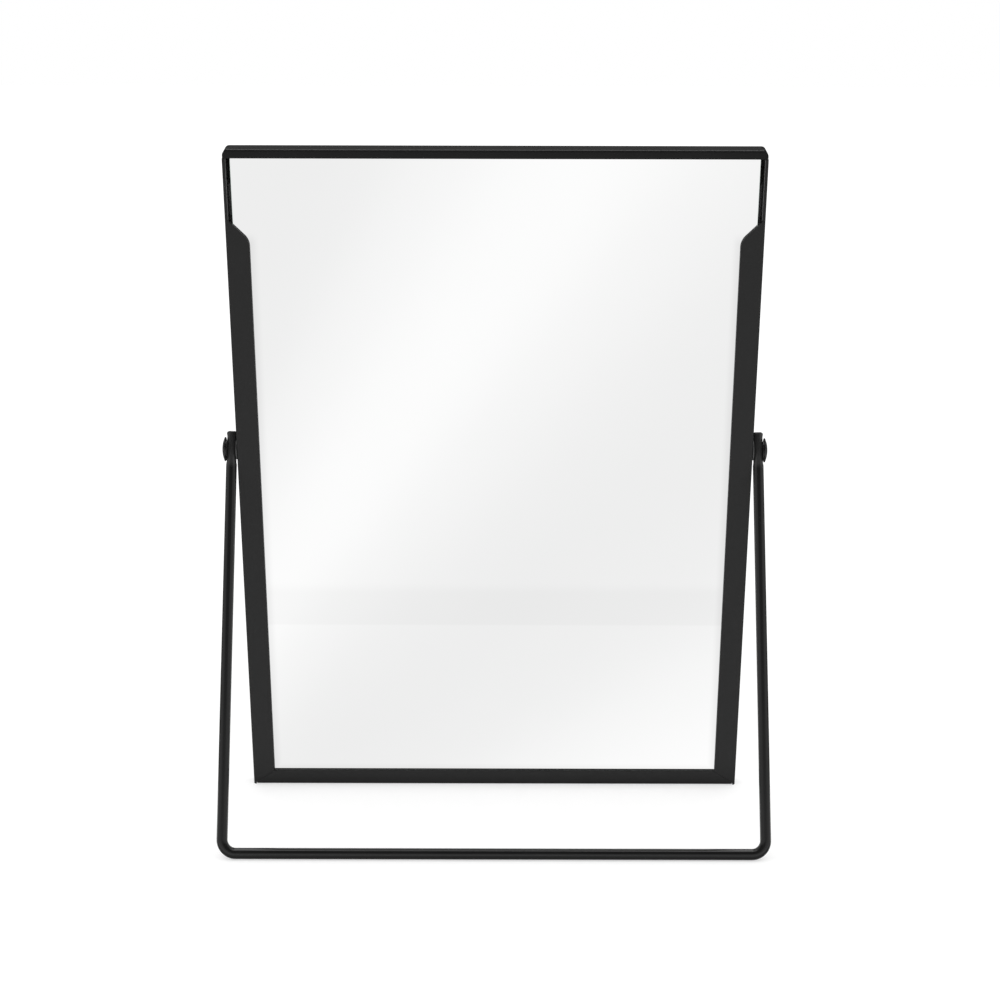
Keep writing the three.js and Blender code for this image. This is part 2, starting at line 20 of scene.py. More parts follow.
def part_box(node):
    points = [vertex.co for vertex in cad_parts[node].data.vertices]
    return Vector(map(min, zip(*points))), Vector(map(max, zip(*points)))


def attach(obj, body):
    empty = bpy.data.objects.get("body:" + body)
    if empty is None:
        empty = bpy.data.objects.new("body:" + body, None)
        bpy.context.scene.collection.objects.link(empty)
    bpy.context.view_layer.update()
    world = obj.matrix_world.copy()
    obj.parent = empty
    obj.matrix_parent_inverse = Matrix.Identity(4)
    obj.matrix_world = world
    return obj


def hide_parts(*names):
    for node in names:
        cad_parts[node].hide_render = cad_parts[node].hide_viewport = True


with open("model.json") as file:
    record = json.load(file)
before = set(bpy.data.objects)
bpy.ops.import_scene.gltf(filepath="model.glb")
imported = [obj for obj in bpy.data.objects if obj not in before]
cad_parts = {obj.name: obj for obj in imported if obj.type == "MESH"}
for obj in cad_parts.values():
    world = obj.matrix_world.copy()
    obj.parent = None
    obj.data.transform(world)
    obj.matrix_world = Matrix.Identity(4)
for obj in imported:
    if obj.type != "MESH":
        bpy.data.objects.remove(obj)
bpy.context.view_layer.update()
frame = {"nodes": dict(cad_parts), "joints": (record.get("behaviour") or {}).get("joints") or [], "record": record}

# %% [markdown]
# ## Two leaning frames of reference
#
# The mirror leans forward and the stand's legs lean the other way, both round the pivots. Every
# piece is much easier to build upright, round a pivot at zero, and to lean at the end. The joint
# gives the pivot's place. The rail's flat top is a mount, so its direction gives the mirror's lean,
# and the lowest bar of the stand gives the legs' lean.

# %% Find the pivots and the two leans
MM = 0.001
ROD = 4.76 * MM
SHEET = 1.2 * MM
NOTCH_DROP = 39.0 * MM
WASHER_GAP = 0.1 * MM

record = frame["record"]
PIVOT = Vector(frame["joints"][0]["pos_m"])
top_face = next(m for m in record["mounts"] if m["name"] == "top_face")
LEAN = math.atan2(-top_face["axis"][1], top_face["axis"][2])

stand_low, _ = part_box("stand_frame")
bar_middle = Vector((0, stand_low.y + ROD / 2, stand_low.z + ROD / 2))
LEG_LEAN = math.atan2(PIVOT.y - bar_middle.y, PIVOT.z - bar_middle.z)
LEG_LENGTH = (PIVOT - bar_middle).length

PANEL = Matrix.Translation(PIVOT) @ Matrix.Rotation(LEAN, 4, "X")
STAND = Matrix.Translation(PIVOT) @ Matrix.Rotation(-LEG_LEAN, 4, "X")


def upright_box(place, node):
    """The lowest and highest corner of a CAD node, in the leaning frame that place stands for."""
    back = place.inverted()
    points = np.array([back @ v.co for v in frame["nodes"][node].data.vertices])
    return Vector(points.min(0)), Vector(points.max(0))


side_low, side_high = upright_box(PANEL, "right_side_channel")
bottom_low, bottom_high = upright_box(PANEL, "bottom_channel")
rail_low, rail_high = upright_box(PANEL, "top_rail")
glass_low, glass_high = upright_box(PANEL, "mirror_glass")
board_low, board_high = upright_box(PANEL, "backing_board")
_, leg_high = upright_box(STAND, "stand_frame")
NOTCH_BOTTOM = rail_high.z - NOTCH_DROP
print("lean", round(math.degrees(LEAN), 2), "leg lean", round(math.degrees(LEG_LEAN), 2))
print("glass mm", [round(1000 * v, 2) for v in glass_high - glass_low])

# %% [markdown]
# ## Node trees in few lines
#
# Materials and Geometry Nodes are both made of nodes and links. One helper adds a node, sets its
# options first, because they decide which sockets it has, and then fills each input with a number
# or with another node's output.

# %% A helper that adds a node
def add(tree, kind, inputs=(), out=0, **options):
    """Adds a node and returns one of its outputs. Inputs go by position or by name."""
    node = tree.nodes.new(kind)
    for name, value in options.items():
        setattr(node, name, value)
    for key, value in inputs.items() if isinstance(inputs, dict) else enumerate(inputs):
        if isinstance(value, bpy.types.NodeSocket):
            tree.links.new(value, node.inputs[key])
        elif value is not None:
            node.inputs[key].default_value = value
    return None if out is None else node.outputs[out]


def calc(tree, operation, *values):
    return add(tree, "ShaderNodeMath", values, operation=operation)


def both(tree, first, second):
    """Two numbers or masks multiplied."""
    return calc(tree, "MULTIPLY", first, second)


def ramp(tree, value, start, end, low=0.0, high=1.0):
    """A soft step: low before start, high after end."""
    values = {"Value": value, "From Min": start, "From Max": end, "To Min": low, "To Max": high}
    return add(tree, "ShaderNodeMapRange", values, interpolation_type="SMOOTHSTEP")


def blend_colour(tree, share, first, second):
    """The first colour where share is 0, and the second where it is 1."""
    values = {0: share, 6: first, 7: second}
    return add(tree, "ShaderNodeMix", values, out=2, data_type="RGBA")


def choose(tree, share, first, second):
    """The first number where share is 0, and the second where it is 1."""
    return add(tree, "ShaderNodeMix", {0: share, 2: first, 3: second}, data_type="FLOAT")


def split(tree, vector):
    """The X, Y and Z of a vector."""
    node = tree.nodes.new("ShaderNodeSeparateXYZ")
    tree.links.new(vector, node.inputs[0])
    return list(node.outputs)


def colour_of(tree, level):
    """A grey of the given level."""
    return add(tree, "ShaderNodeCombineColor", (level, level, level))


def grey(level):
    return (level, level, level, 1.0)


def new_group(name, kind, sockets):
    """An empty node group. Sockets are (name, "INPUT" or "OUTPUT", type, default or None)."""
    group = bpy.data.node_groups.new(name, kind)
    for label, direction, type_name, default in sockets:
        socket = group.interface.new_socket(label, in_out=direction, socket_type=type_name)
        if default is not None:
            socket.default_value = default
    return group


print("helpers ready")

# %% [markdown]
# ## The camera and the counter
#
# The mirror stands on a white counter and is seen from a little above its top edge. A long lens
# keeps its sides nearly parallel. The camera is placed first, so that each later piece can be
# looked at as it is made.

# %% Place the camera
LENS_MM = 72.22
CAMERA_PLACE = Vector((2.32, -861.65, 332.13)) * MM
LOOKING_DOWN = math.radians(12.10)
CAMERA_ROLL = math.radians(0.132)

camera_data = bpy.data.cameras.new("camera")
camera_data.sensor_width = 36.0
camera_data.lens = LENS_MM
camera_data.clip_start = 0.01
camera_data.clip_end = 200.0
camera = bpy.data.objects.new("camera", camera_data)
bpy.context.scene.collection.objects.link(camera)
camera.matrix_world = (
    Matrix.Translation(CAMERA_PLACE)
    @ Matrix.Rotation(math.pi / 2 - LOOKING_DOWN, 4, "X")
    @ Matrix.Rotation(CAMERA_ROLL, 4, "Z")
)
bpy.context.scene.camera = camera
bpy.context.scene.view_settings.view_transform = "Standard"
print("camera at", [round(v, 4) for v in CAMERA_PLACE])

# %% [markdown]
# ## Soft light all round
#
# The light is like that of a white tent. Matt surfaces are lit almost evenly. Glossy ones
# reflect a bright roof that starts behind the object and ends just in front of it, bright walls at
# the sides, a low bright edge in front, and dark gaps between them. That is what draws the light
# and dark stripes along a black rod.
#
# No real tent is even and striped at once. The world's shader can be both, because it can ask what
# kind of ray is looking. A gloss ray that comes after a matt bounce gets the even light too. A
# singular ray is one that a perfect mirror sends back, and it gets an even white. The camera sees
# pure white. All the levels are chosen for the look.

# %% Build the light tent
TENT_LIGHT = 1.3
ROOF_LIGHT = 2.8
WALL_LIGHT = 0.75
FRONT_LIGHT = 0.75
GAP_LIGHT = 0.05
MIRRORED_TENT = 0.95
ROOF_DIRECTION = (0.0, 0.34, 0.94)
ROOF_EDGE = (0.84, 0.93)
WALL_WIDTH = (0.45, 0.70)
WALL_TOP = (0.62, 0.40)
FRONT_WIDTH = (0.05, -0.15)
FRONT_TOP = (0.52, 0.25)

world = bpy.data.worlds.new("light_tent")
bpy.context.scene.world = world
world.use_nodes = True
world.cycles.sampling_method = "NONE"
tent = world.node_tree
tent.nodes.clear()

direction = add(tent, "ShaderNodeTexCoord", out="Generated")
sideways, away, upward = split(tent, direction)
towards_roof = add(tent, "ShaderNodeVectorMath", (direction, ROOF_DIRECTION), out=1,
                   operation="DOT_PRODUCT")
roof = both(tent, ramp(tent, towards_roof, *ROOF_EDGE), ROOF_LIGHT)
wall_mask = both(tent, ramp(tent, calc(tent, "ABSOLUTE", sideways), *WALL_WIDTH),
                 ramp(tent, upward, *WALL_TOP))
walls = both(tent, wall_mask, WALL_LIGHT)
front_mask = both(tent, ramp(tent, away, *FRONT_WIDTH), ramp(tent, upward, *FRONT_TOP))
front_edge = both(tent, front_mask, FRONT_LIGHT)
tent_light = calc(tent, "MAXIMUM", roof, calc(tent, "MAXIMUM", walls, front_edge))
gloss_light = calc(tent, "MAXIMUM", tent_light, GAP_LIGHT)

ray = tent.nodes.new("ShaderNodeLightPath").outputs
first_gloss = both(tent, ray["Is Glossy Ray"], calc(tent, "LESS_THAN", ray["Diffuse Depth"], 0.5))
even_or_gloss = choose(tent, first_gloss, TENT_LIGHT, gloss_light)
first_mirror = both(tent, first_gloss, ray["Is Singular Ray"])
lit = choose(tent, first_mirror, even_or_gloss, MIRRORED_TENT)
strength = choose(tent, ray["Is Camera Ray"], lit, 1.0)
background = add(tent, "ShaderNodeBackground", {"Color": grey(1.0), "Strength": strength})
add(tent, "ShaderNodeOutputWorld", {"Surface": background}, out=None)
print("tent nodes", len(tent.nodes))

# %% [markdown]
# ## The counter
#
# The counter is plain white, with a short soft shadow under the frame and the bar. Part of its
# brightness is a glow of its own, which no shadow dims, so these shadows stay pale.
#
# The mirror leans forward, so what it shows is the counter in front of it. A broad sheen that fans
# out from one side, and a faint darker band across it near the mirror, are painted there. Only
# perfect mirror rays see them. The sheen is up to 13 parts in a hundred brighter than the rest.
#
# To gloss rays that are no perfect mirror rays the counter is painted nearly black behind the object and far in
# front of it, like black flags laid on it, which keeps the outline of black paint dark. They also see a painted
# shadow, in a line under the bar and one under the frame. Other rays see none of this, and it is chosen for the
# look.

# %% Lay the counter
COUNTER_HALF = 40.0
COUNTER_GLOW = 0.465
COUNTER_PAINT = 0.53
CONTACT_SHADE = 0.7
CONTACT_REACH = (2 * MM, 14 * MM)
FLAG_BEHIND = (25 * MM, 90 * MM)
FLAG_IN_FRONT = (-640 * MM, -760 * MM)
FLAG_LEVEL = 0.03
FAN_CENTRE = (-240 * MM, 254 * MM)
FAN_TOP = 1.6
FAN_STEPS = (
    (0.00, 1.000), (0.14, 1.000), (0.205, 1.055), (0.33, 1.128), (0.452, 1.062), (0.60, 1.000),
    (0.88, 1.000), (1.00, 1.020), (1.15, 1.066), (1.28, 1.097), (1.43, 1.128),
)
BAND_NEAR = (-79 * MM, -81 * MM)
BAND_FAR = (-119 * MM, -107 * MM)
BAND_LEVEL = 0.963

counter_mesh = bpy.data.meshes.new("counter")
corners = [(x * COUNTER_HALF, y * COUNTER_HALF, 0) for x, y in ((-1, -1), (1, -1), (1, 1), (-1, 1))]
counter_mesh.from_pydata(corners, [], [(0, 1, 2, 3)])
counter = bpy.data.objects.new("counter", counter_mesh)
bpy.context.scene.collection.objects.link(counter)

counter_paint = bpy.data.materials.new("counter_paint")
counter_paint.use_nodes = True
counter_paint.cycles.emission_sampling = "NONE"
counter.data.materials.append(counter_paint)
tree = counter_paint.node_tree
shader = tree.nodes["Principled BSDF"]
across, along, _ = split(tree, add(tree, "ShaderNodeTexCoord", out="Object"))

reach = calc(tree, "MAXIMUM", calc(tree, "SUBTRACT", FAN_CENTRE[1], along), MM)
fan = calc(tree, "DIVIDE", calc(tree, "SUBTRACT", across, FAN_CENTRE[0]), reach)
sheen = tree.nodes.new("ShaderNodeFloatCurve")
tree.links.new(calc(tree, "DIVIDE", fan, FAN_TOP), sheen.inputs["Value"])
curve = sheen.mapping.curves[0]
while len(curve.points) < len(FAN_STEPS):
    curve.points.new(0.5, 0.5)
for point, (place, level) in zip(curve.points, FAN_STEPS):
    point.location = (place / FAN_TOP, level / 2)
sheen.mapping.update()
band = both(tree, ramp(tree, along, *BAND_FAR), ramp(tree, along, *BAND_NEAR))
sheen_level = both(tree, both(tree, sheen.outputs[0], 2.0), choose(tree, band, 1.0, BAND_LEVEL))

# Painted dark for gloss rays: the black flags, and a painted shadow in a line under the bar and one under the
# frame.
flagged = calc(tree, "MAXIMUM", ramp(tree, along, *FLAG_BEHIND), ramp(tree, along, *FLAG_IN_FRONT))
open_level = choose(tree, flagged, 1.0, FLAG_LEVEL)
panel_foot = PANEL @ Vector((0, 0, side_low.z))
from_bar = calc(tree, "ABSOLUTE", calc(tree, "SUBTRACT", along, bar_middle.y))
from_foot = calc(tree, "ABSOLUTE", calc(tree, "SUBTRACT", along, panel_foot.y))
nearest = calc(tree, "MINIMUM", from_bar, from_foot)
painted_contact_shadow = ramp(tree, nearest, *CONTACT_REACH, CONTACT_SHADE, 0.0)
open_level = both(tree, open_level, calc(tree, "SUBTRACT", 1.0, painted_contact_shadow))

ray = tree.nodes.new("ShaderNodeLightPath").outputs
first_gloss = both(tree, ray["Is Glossy Ray"], calc(tree, "LESS_THAN", ray["Diffuse Depth"], 0.5))
first_mirror = both(tree, first_gloss, ray["Is Singular Ray"])
in_paint = choose(tree, first_gloss, 1.0, open_level)
glow = choose(tree, first_mirror, both(tree, in_paint, COUNTER_GLOW), sheen_level)
paint = choose(tree, first_mirror, both(tree, in_paint, COUNTER_PAINT), 0.0)
tree.links.new(colour_of(tree, glow), shader.inputs["Emission Color"])
tree.links.new(colour_of(tree, paint), shader.inputs["Base Color"])
shader.inputs["Emission Strength"].default_value = 1.0
shader.inputs["Roughness"].default_value = 1.0
shader.inputs["Specular IOR Level"].default_value = 0.0
print("counter is", 2 * COUNTER_HALF, "m across")

# %% [markdown]
# ## Effects that several finishes share
#
# Paint, rubber, nylon and plating all have some of the same things: a fine grain that breaks up
# highlights, and slow cloudy changes in tone. One node group makes both from a place on the piece,
# with a size for each. A second group makes fine lines along one direction, which rolled plate,
# ground glass edges and the fibres of hardboard have.

# %% Make the shared grain group
grain = new_group("surface_grain", "ShaderNodeTree", [
    ("Place", "INPUT", "NodeSocketVector", None),
    ("Grain Size", "INPUT", "NodeSocketFloat", 0.4 * MM),
    ("Cloud Size", "INPUT", "NodeSocketFloat", 30 * MM),
    ("Height", "OUTPUT", "NodeSocketFloat", None),
    ("Clouds", "OUTPUT", "NodeSocketFloat", None),
])
group_in = grain.nodes.new("NodeGroupInput").outputs
group_out = grain.nodes.new("NodeGroupOutput").inputs
grain_scale = calc(grain, "DIVIDE", 1.0, group_in["Grain Size"])
cloud_scale = calc(grain, "DIVIDE", 1.0, group_in["Cloud Size"])
fine = add(grain, "ShaderNodeTexNoise",
           {"Vector": group_in["Place"], "Scale": grain_scale, "Detail": 2.0, "Roughness": 0.45})
broad = add(grain, "ShaderNodeTexNoise",
            {"Vector": group_in["Place"], "Scale": cloud_scale, "Detail": 3.0, "Roughness": 0.6})
grain.links.new(fine, group_out["Height"])
grain.links.new(ramp(grain, broad, 0.3, 0.7), group_out["Clouds"])
print("group", grain.name)

# %% Make the shared line group
lines = new_group("fine_lines", "ShaderNodeTree", [
    ("Place", "INPUT", "NodeSocketVector", None),
    ("Stretch", "INPUT", "NodeSocketVector", (1.0, 1.0, 1.0)),
    ("Line Size", "INPUT", "NodeSocketFloat", 0.3 * MM),
    ("Lines", "OUTPUT", "NodeSocketFloat", None),
])
group_in = lines.nodes.new("NodeGroupInput").outputs
group_out = lines.nodes.new("NodeGroupOutput").inputs
stretched = add(lines, "ShaderNodeVectorMath", (group_in["Place"], group_in["Stretch"]),
                operation="MULTIPLY")
line_scale = calc(lines, "DIVIDE", 1.0, group_in["Line Size"])
streaks = add(lines, "ShaderNodeTexNoise",
              {"Vector": stretched, "Scale": line_scale, "Detail": 3.0, "Roughness": 0.7})
lines.links.new(streaks, group_out["Lines"])
print("group", lines.name)

# %% [markdown]
# ## Starting a finish
#
# Every finish begins the same way: a Principled shader, and a place that is measured upright round
# the pivots, because the pieces themselves lean. A Mapping node of the Texture kind undoes the
# lean.

# %% A helper that starts a finish
BODY_LEAN = {"panel": LEAN, "stand": -LEG_LEAN}


def start_finish(name, body, **sockets):
    """A new material: returns it, its tree, its Principled shader and the upright place."""
    material = bpy.data.materials.new(name)
    material.use_nodes = True
    tree = material.node_tree
    shader = tree.nodes["Principled BSDF"]
    for label, value in sockets.items():
        shader.inputs[label.replace("_", " ")].default_value = value
    upright = add(tree, "ShaderNodeMapping", {
        "Vector": add(tree, "ShaderNodeTexCoord", out="Object"),
        "Location": PIVOT,
        "Rotation": (BODY_LEAN[body], 0, 0),
    }, vector_type="TEXTURE")
    return material, tree, shader, upright


def put_grain(tree, place, grain_size, cloud_size):
    """Places the shared grain group and returns its height and its clouds."""
    node = tree.nodes.new("ShaderNodeGroup")
    node.node_tree = grain
    tree.links.new(place, node.inputs["Place"])
    node.inputs["Grain Size"].default_value = grain_size
    node.inputs["Cloud Size"].default_value = cloud_size
    return node.outputs["Height"], node.outputs["Clouds"]


def put_lines(tree, place, stretch, line_size):
    node = tree.nodes.new("ShaderNodeGroup")
    node.node_tree = lines
    tree.links.new(place, node.inputs["Place"])
    node.inputs["Stretch"].default_value = stretch
    node.inputs["Line Size"].default_value = line_size
    return node.outputs["Lines"]


def emboss(tree, shader, height, depth, amount=1.0):
    """Feeds a height, depth metres from lowest to highest, to the shader's normal."""
    values = {"Height": height, "Distance": depth, "Strength": amount}
    tree.links.new(add(tree, "ShaderNodeBump", values), shader.inputs["Normal"])


def vary_roughness(tree, shader, mask, low, high):
    tree.links.new(ramp(tree, mask, 0.0, 1.0, low, high), shader.inputs["Roughness"])


print("finish helpers ready")

# %% [markdown]
# ## Powder coat and enamel
#
# The frame is powder coated: black, with a fine orange peel that spreads its highlights. The stand
# and its screws have a thinner, smoother enamel, so they show sharper stripes. Both are one recipe
# with different numbers.

# %% Mix the black paints
def black_paint(name, body, tone, gloss, index, peel_size, peel_depth):
    """Black paint: tone is its darkest and lightest grey, and gloss its two roughnesses."""
    material, tree, shader, place = start_finish(name, body, IOR=index)
    height, clouds = put_grain(tree, place, peel_size, 35 * MM)
    colour = blend_colour(tree, clouds, grey(tone[0]), grey(tone[1]))
    tree.links.new(colour, shader.inputs["Base Color"])
    vary_roughness(tree, shader, clouds, *gloss)
    emboss(tree, shader, height, peel_depth)
    return material, tree, shader, place, colour


rail_coat, *_ = black_paint("rail_powder_coat", "panel", (0.0060, 0.0070), (0.35, 0.39), 1.26,
                            0.45 * MM, 0.003 * MM)
screw_enamel, *_ = black_paint("screw_enamel", "panel", (0.018, 0.022), (0.24, 0.30), 1.45,
                               0.5 * MM, 0.002 * MM)
print("paints", rail_coat.name, screw_enamel.name)

# %% [markdown]
# The legs' pressed ends come out darker than wanted in the enamel of the rod, under the tent's light, so near the
# pivots its tone is set a little greyer. This is painted light, a choice for the look, and stands for no wear.

# %% Mix the rod's enamel
PIVOT_PAINTED_LIGHT_TONE = 0.022
PRESSED_FROM = -9.0 * MM
PRESSED_TO = -6.0 * MM

rod_enamel, tree, shader, place, colour = black_paint(
    "rod_enamel", "stand", (0.007, 0.008), (0.15, 0.20), 1.40, 0.8 * MM, 0.002 * MM)
_, _, up = split(tree, place)
# Painted light: the enamel is set greyer near the pivots.
painted_light_near_pivots = ramp(tree, up, PRESSED_FROM, PRESSED_TO)
tree.links.new(blend_colour(tree, painted_light_near_pivots, colour, grey(PIVOT_PAINTED_LIGHT_TONE)), shader.inputs["Base Color"])
print("paint", rod_enamel.name)

# %% [markdown]
# The inside of the channels is set lighter than the outside, like a thin coat over grey primer. This is painted
# light, which makes the deep shade inside them paler. That is a guess. A mask finds the inside by how deep and how
# far out a point is. It has a known fault: it takes in the frame's underside too, because it doesn't look at
# height.

# %% Mix the frame's powder coat
INSIDE_PAINTED_LIGHT_TONE = 0.13
INSIDE_EDGE = 0.05 * MM
INSIDE_DEPTH = side_high.y - SHEET + INSIDE_EDGE
INSIDE_WIDTH = side_high.x - SHEET + INSIDE_EDGE

frame_coat, tree, shader, place, colour = black_paint(
    "frame_powder_coat", "panel", (0.0100, 0.0110), (0.50, 0.54), 1.33, 0.45 * MM, 0.004 * MM)
across, deep, _ = split(tree, place)
# Painted light: the inside of the channels is set lighter against its deep shade.
inside = both(
    tree,
    ramp(tree, calc(tree, "ABSOLUTE", deep), INSIDE_DEPTH + INSIDE_EDGE, INSIDE_DEPTH),
    ramp(tree, calc(tree, "ABSOLUTE", across), INSIDE_WIDTH + INSIDE_EDGE, INSIDE_WIDTH),
)
tree.links.new(blend_colour(tree, inside, colour, grey(INSIDE_PAINTED_LIGHT_TONE)), shader.inputs["Base Color"])
print("paint", frame_coat.name)

# %% [markdown]
# ## Silvered glass
#
# The mirror's front is almost perfect: a faint haze changes its brightness very little. Beside the
# side flanges and above the bottom one it is up to a tenth darker, over about four millimetres. A
# perfect mirror shows no such shade, so it is painted on. The ground edge is matt and greenish,
# with fine grinding lines along it, and the back has grey protective paint over the silver.

# %% Silver, ground edge and back paint
SILVER_TINT = (0.862, 0.863, 0.862, 1.0)
SILVER_HAZE = (0.866, 0.867, 0.866, 1.0)
SIDE_SHADE = 4.2 * MM
FOOT_SHADE = 4.0 * MM
FOOT_SHARE = 0.75
NOTCH_SHADE = (NOTCH_BOTTOM + 4 * MM, NOTCH_BOTTOM - 2 * MM)
SHADE_LEVEL = 0.90

silver, tree, shader, place = start_finish("silvered_glass", "panel", Metallic=1.0, IOR=1.52)
across, _, up = split(tree, place)
# Painted shade: the silver is set darker beside the side flanges below the notch and above the bottom flange.
from_side = calc(tree, "SUBTRACT", side_low.x, calc(tree, "ABSOLUTE", across))
beside_flange = both(tree, ramp(tree, from_side, SIDE_SHADE, 0.0), ramp(tree, up, *NOTCH_SHADE))
from_foot = calc(tree, "SUBTRACT", up, bottom_high.z)
over_foot = both(tree, ramp(tree, from_foot, FOOT_SHADE, 0.0), FOOT_SHARE)
shade = calc(tree, "MAXIMUM", beside_flange, over_foot)
painted_shade_tint = tuple(SHADE_LEVEL * c for c in SILVER_TINT[:3]) + (1.0,)
_, haze = put_grain(tree, place, 6 * MM, 60 * MM)
hazed = blend_colour(tree, haze, SILVER_TINT, SILVER_HAZE)
tree.links.new(blend_colour(tree, shade, hazed, painted_shade_tint), shader.inputs["Base Color"])
shader.inputs["Roughness"].default_value = 0.0

ground_edge, tree, shader, place = start_finish("ground_glass_edge", "panel", IOR=1.52)
edge_lines = put_lines(tree, place, (0.04, 1.0, 0.04), 0.25 * MM)
tree.links.new(
    blend_colour(tree, edge_lines, (0.38, 0.46, 0.42, 1.0), (0.62, 0.68, 0.65, 1.0)),
    shader.inputs["Base Color"],
)
vary_roughness(tree, shader, edge_lines, 0.35, 0.6)
emboss(tree, shader, edge_lines, 0.02 * MM)

back_paint, tree, shader, place = start_finish("mirror_back_paint", "panel")
height, clouds = put_grain(tree, place, 0.8 * MM, 40 * MM)
tree.links.new(
    blend_colour(tree, clouds, (0.20, 0.21, 0.23, 1.0), (0.25, 0.26, 0.28, 1.0)),
    shader.inputs["Base Color"],
)
vary_roughness(tree, shader, clouds, 0.5, 0.65)
emboss(tree, shader, height, 0.02 * MM)
print("glass finishes", silver.name, ground_edge.name, back_paint.name)

# %% [markdown]
# ## Hardboard
#
# Hardboard is pressed wood fibre. Its outer face is smooth and brown with darker fibres and small
# paler flecks. The edges get the same finish.

# %% Press the hardboard's finish
FLECK_SCALE = 260.0

hardboard, tree, shader, place = start_finish("pressed_hardboard", "panel")
fibres = put_lines(tree, place, (1.0, 1.0, 0.35), 1.1 * MM)
height, clouds = put_grain(tree, place, 0.7 * MM, 45 * MM)
base = blend_colour(tree, clouds, (0.128, 0.068, 0.034, 1.0), (0.148, 0.081, 0.042, 1.0))
fibred = blend_colour(tree, ramp(tree, fibres, 0.50, 0.72), base, (0.075, 0.038, 0.020, 1.0))
flecks = add(tree, "ShaderNodeTexVoronoi", {"Vector": place, "Scale": FLECK_SCALE}, feature="F1")
flecked = blend_colour(tree, ramp(tree, flecks, 0.16, 0.06), fibred, (0.19, 0.11, 0.06, 1.0))
tree.links.new(flecked, shader.inputs["Base Color"])
vary_roughness(tree, shader, clouds, 0.42, 0.58)
emboss(tree, shader, calc(tree, "ADD", height, fibres), 0.03 * MM)
print("finish", hardboard.name)

# %% [markdown]
# ## Foam, rubber, zinc and nylon
#
# These are the finishes of the parts inside the frame and at the pivots. Foam shows its cut cells,
# rubber a matt bloom, zinc plate fine rolling lines under a faint bluish and yellowish passivation,
# black spring steel the same lines under oil, and black nylon a waxy, slightly uneven skin.

# %% Finish the small parts
CELL_SCALE = 1500.0

foam, tree, shader, place = start_finish("closed_cell_foam", "panel", Roughness=0.95)
cells = add(tree, "ShaderNodeTexVoronoi", {"Vector": place, "Scale": CELL_SCALE}, feature="F1")
tree.links.new(
    blend_colour(tree, ramp(tree, cells, 0.1, 0.7), grey(0.018), grey(0.055)),
    shader.inputs["Base Color"],
)
emboss(tree, shader, cells, 0.25 * MM)

block_rubber, tree, shader, place = start_finish("block_rubber", "panel")
height, clouds = put_grain(tree, place, 0.5 * MM, 9 * MM)
tree.links.new(blend_colour(tree, clouds, grey(0.012), grey(0.024)), shader.inputs["Base Color"])
vary_roughness(tree, shader, clouds, 0.7, 0.85)
emboss(tree, shader, height, 0.03 * MM)


def zinc_plate(name, body, stretch):
    material, tree, shader, place = start_finish(name, body, Metallic=1.0)
    rolled = put_lines(tree, place, stretch, 0.2 * MM)
    _, clouds = put_grain(tree, place, 0.4 * MM, 7 * MM)
    tinted = blend_colour(tree, clouds, (0.50, 0.52, 0.56, 1.0), (0.58, 0.57, 0.50, 1.0))
    darker = blend_colour(tree, ramp(tree, rolled, 0.35, 0.7), tinted, (0.36, 0.37, 0.38, 1.0))
    tree.links.new(darker, shader.inputs["Base Color"])
    vary_roughness(tree, shader, rolled, 0.28, 0.5)
    emboss(tree, shader, rolled, 0.008 * MM)
    return material


clip_zinc = zinc_plate("clip_zinc", "panel", (1.0, 0.05, 1.0))

spring_black, tree, shader, place = start_finish("oiled_black_steel", "stand", Metallic=1.0)
rolled = put_lines(tree, place, (1.0, 1.0, 0.08), 0.2 * MM)
_, clouds = put_grain(tree, place, 0.4 * MM, 3 * MM)
oxide = blend_colour(tree, clouds, (0.060, 0.060, 0.064, 1.0), (0.095, 0.092, 0.090, 1.0))
tree.links.new(oxide, shader.inputs["Base Color"])
vary_roughness(tree, shader, rolled, 0.30, 0.48)
emboss(tree, shader, rolled, 0.008 * MM)

nylon, tree, shader, place = start_finish("black_nylon", "stand")
height, clouds = put_grain(tree, place, 0.6 * MM, 4 * MM)
tree.links.new(blend_colour(tree, clouds, grey(0.045), grey(0.060)), shader.inputs["Base Color"])
vary_roughness(tree, shader, clouds, 0.42, 0.55)
emboss(tree, shader, height, 0.01 * MM)
print("finishes", foam.name, block_rubber.name, clip_zinc.name, spring_black.name, nylon.name)

# %% [markdown]
# ## From a mesh to a finished piece
#
# The folded parts are cut like real ones: a blank is made first, then holes and notches are cut
# out of it. Boolean modifiers do the cutting and a narrow Bevel takes off the sharp edges, because
# a real cut edge is never perfectly sharp. The result is turned into a plain mesh.
#
# Large flat faces next to small bends need care with their shading. Edges that turn sharply are
# marked, and a Weighted Normal modifier lets each flat face keep its own direction.

# %% Helpers that build and settle pieces
EDGE_BREAK = 0.12 * MM
EDGE_ANGLE = math.radians(30)


def prism(name, outline, start, end, corner):
    """A closed solid from a flat outline. corner(u, v, w) gives a point, with w along its length."""
    built = bmesh.new()
    ends = [[built.verts.new(corner(u, v, w)) for u, v in outline] for w in (start, end)]
    count = len(outline)
    built.faces.new(ends[0])
    built.faces.new(ends[1])
    for i in range(count):
        j = (i + 1) % count
        built.faces.new((ends[0][i], ends[0][j], ends[1][j], ends[1][i]))
    bmesh.ops.recalc_face_normals(built, faces=built.faces)
    mesh = bpy.data.meshes.new(name)
    built.to_mesh(mesh)
    built.free()
    return bpy.data.objects.new(name, mesh)


def along_y(u, v, w):
    return (u, w, v)


def along_x(u, v, w):
    return (w, u, v)


def disc(centre, radius, steps=32):
    turns = [2 * math.pi * i / steps for i in range(steps)]
    return [(centre[0] + radius * math.cos(t), centre[1] + radius * math.sin(t)) for t in turns]


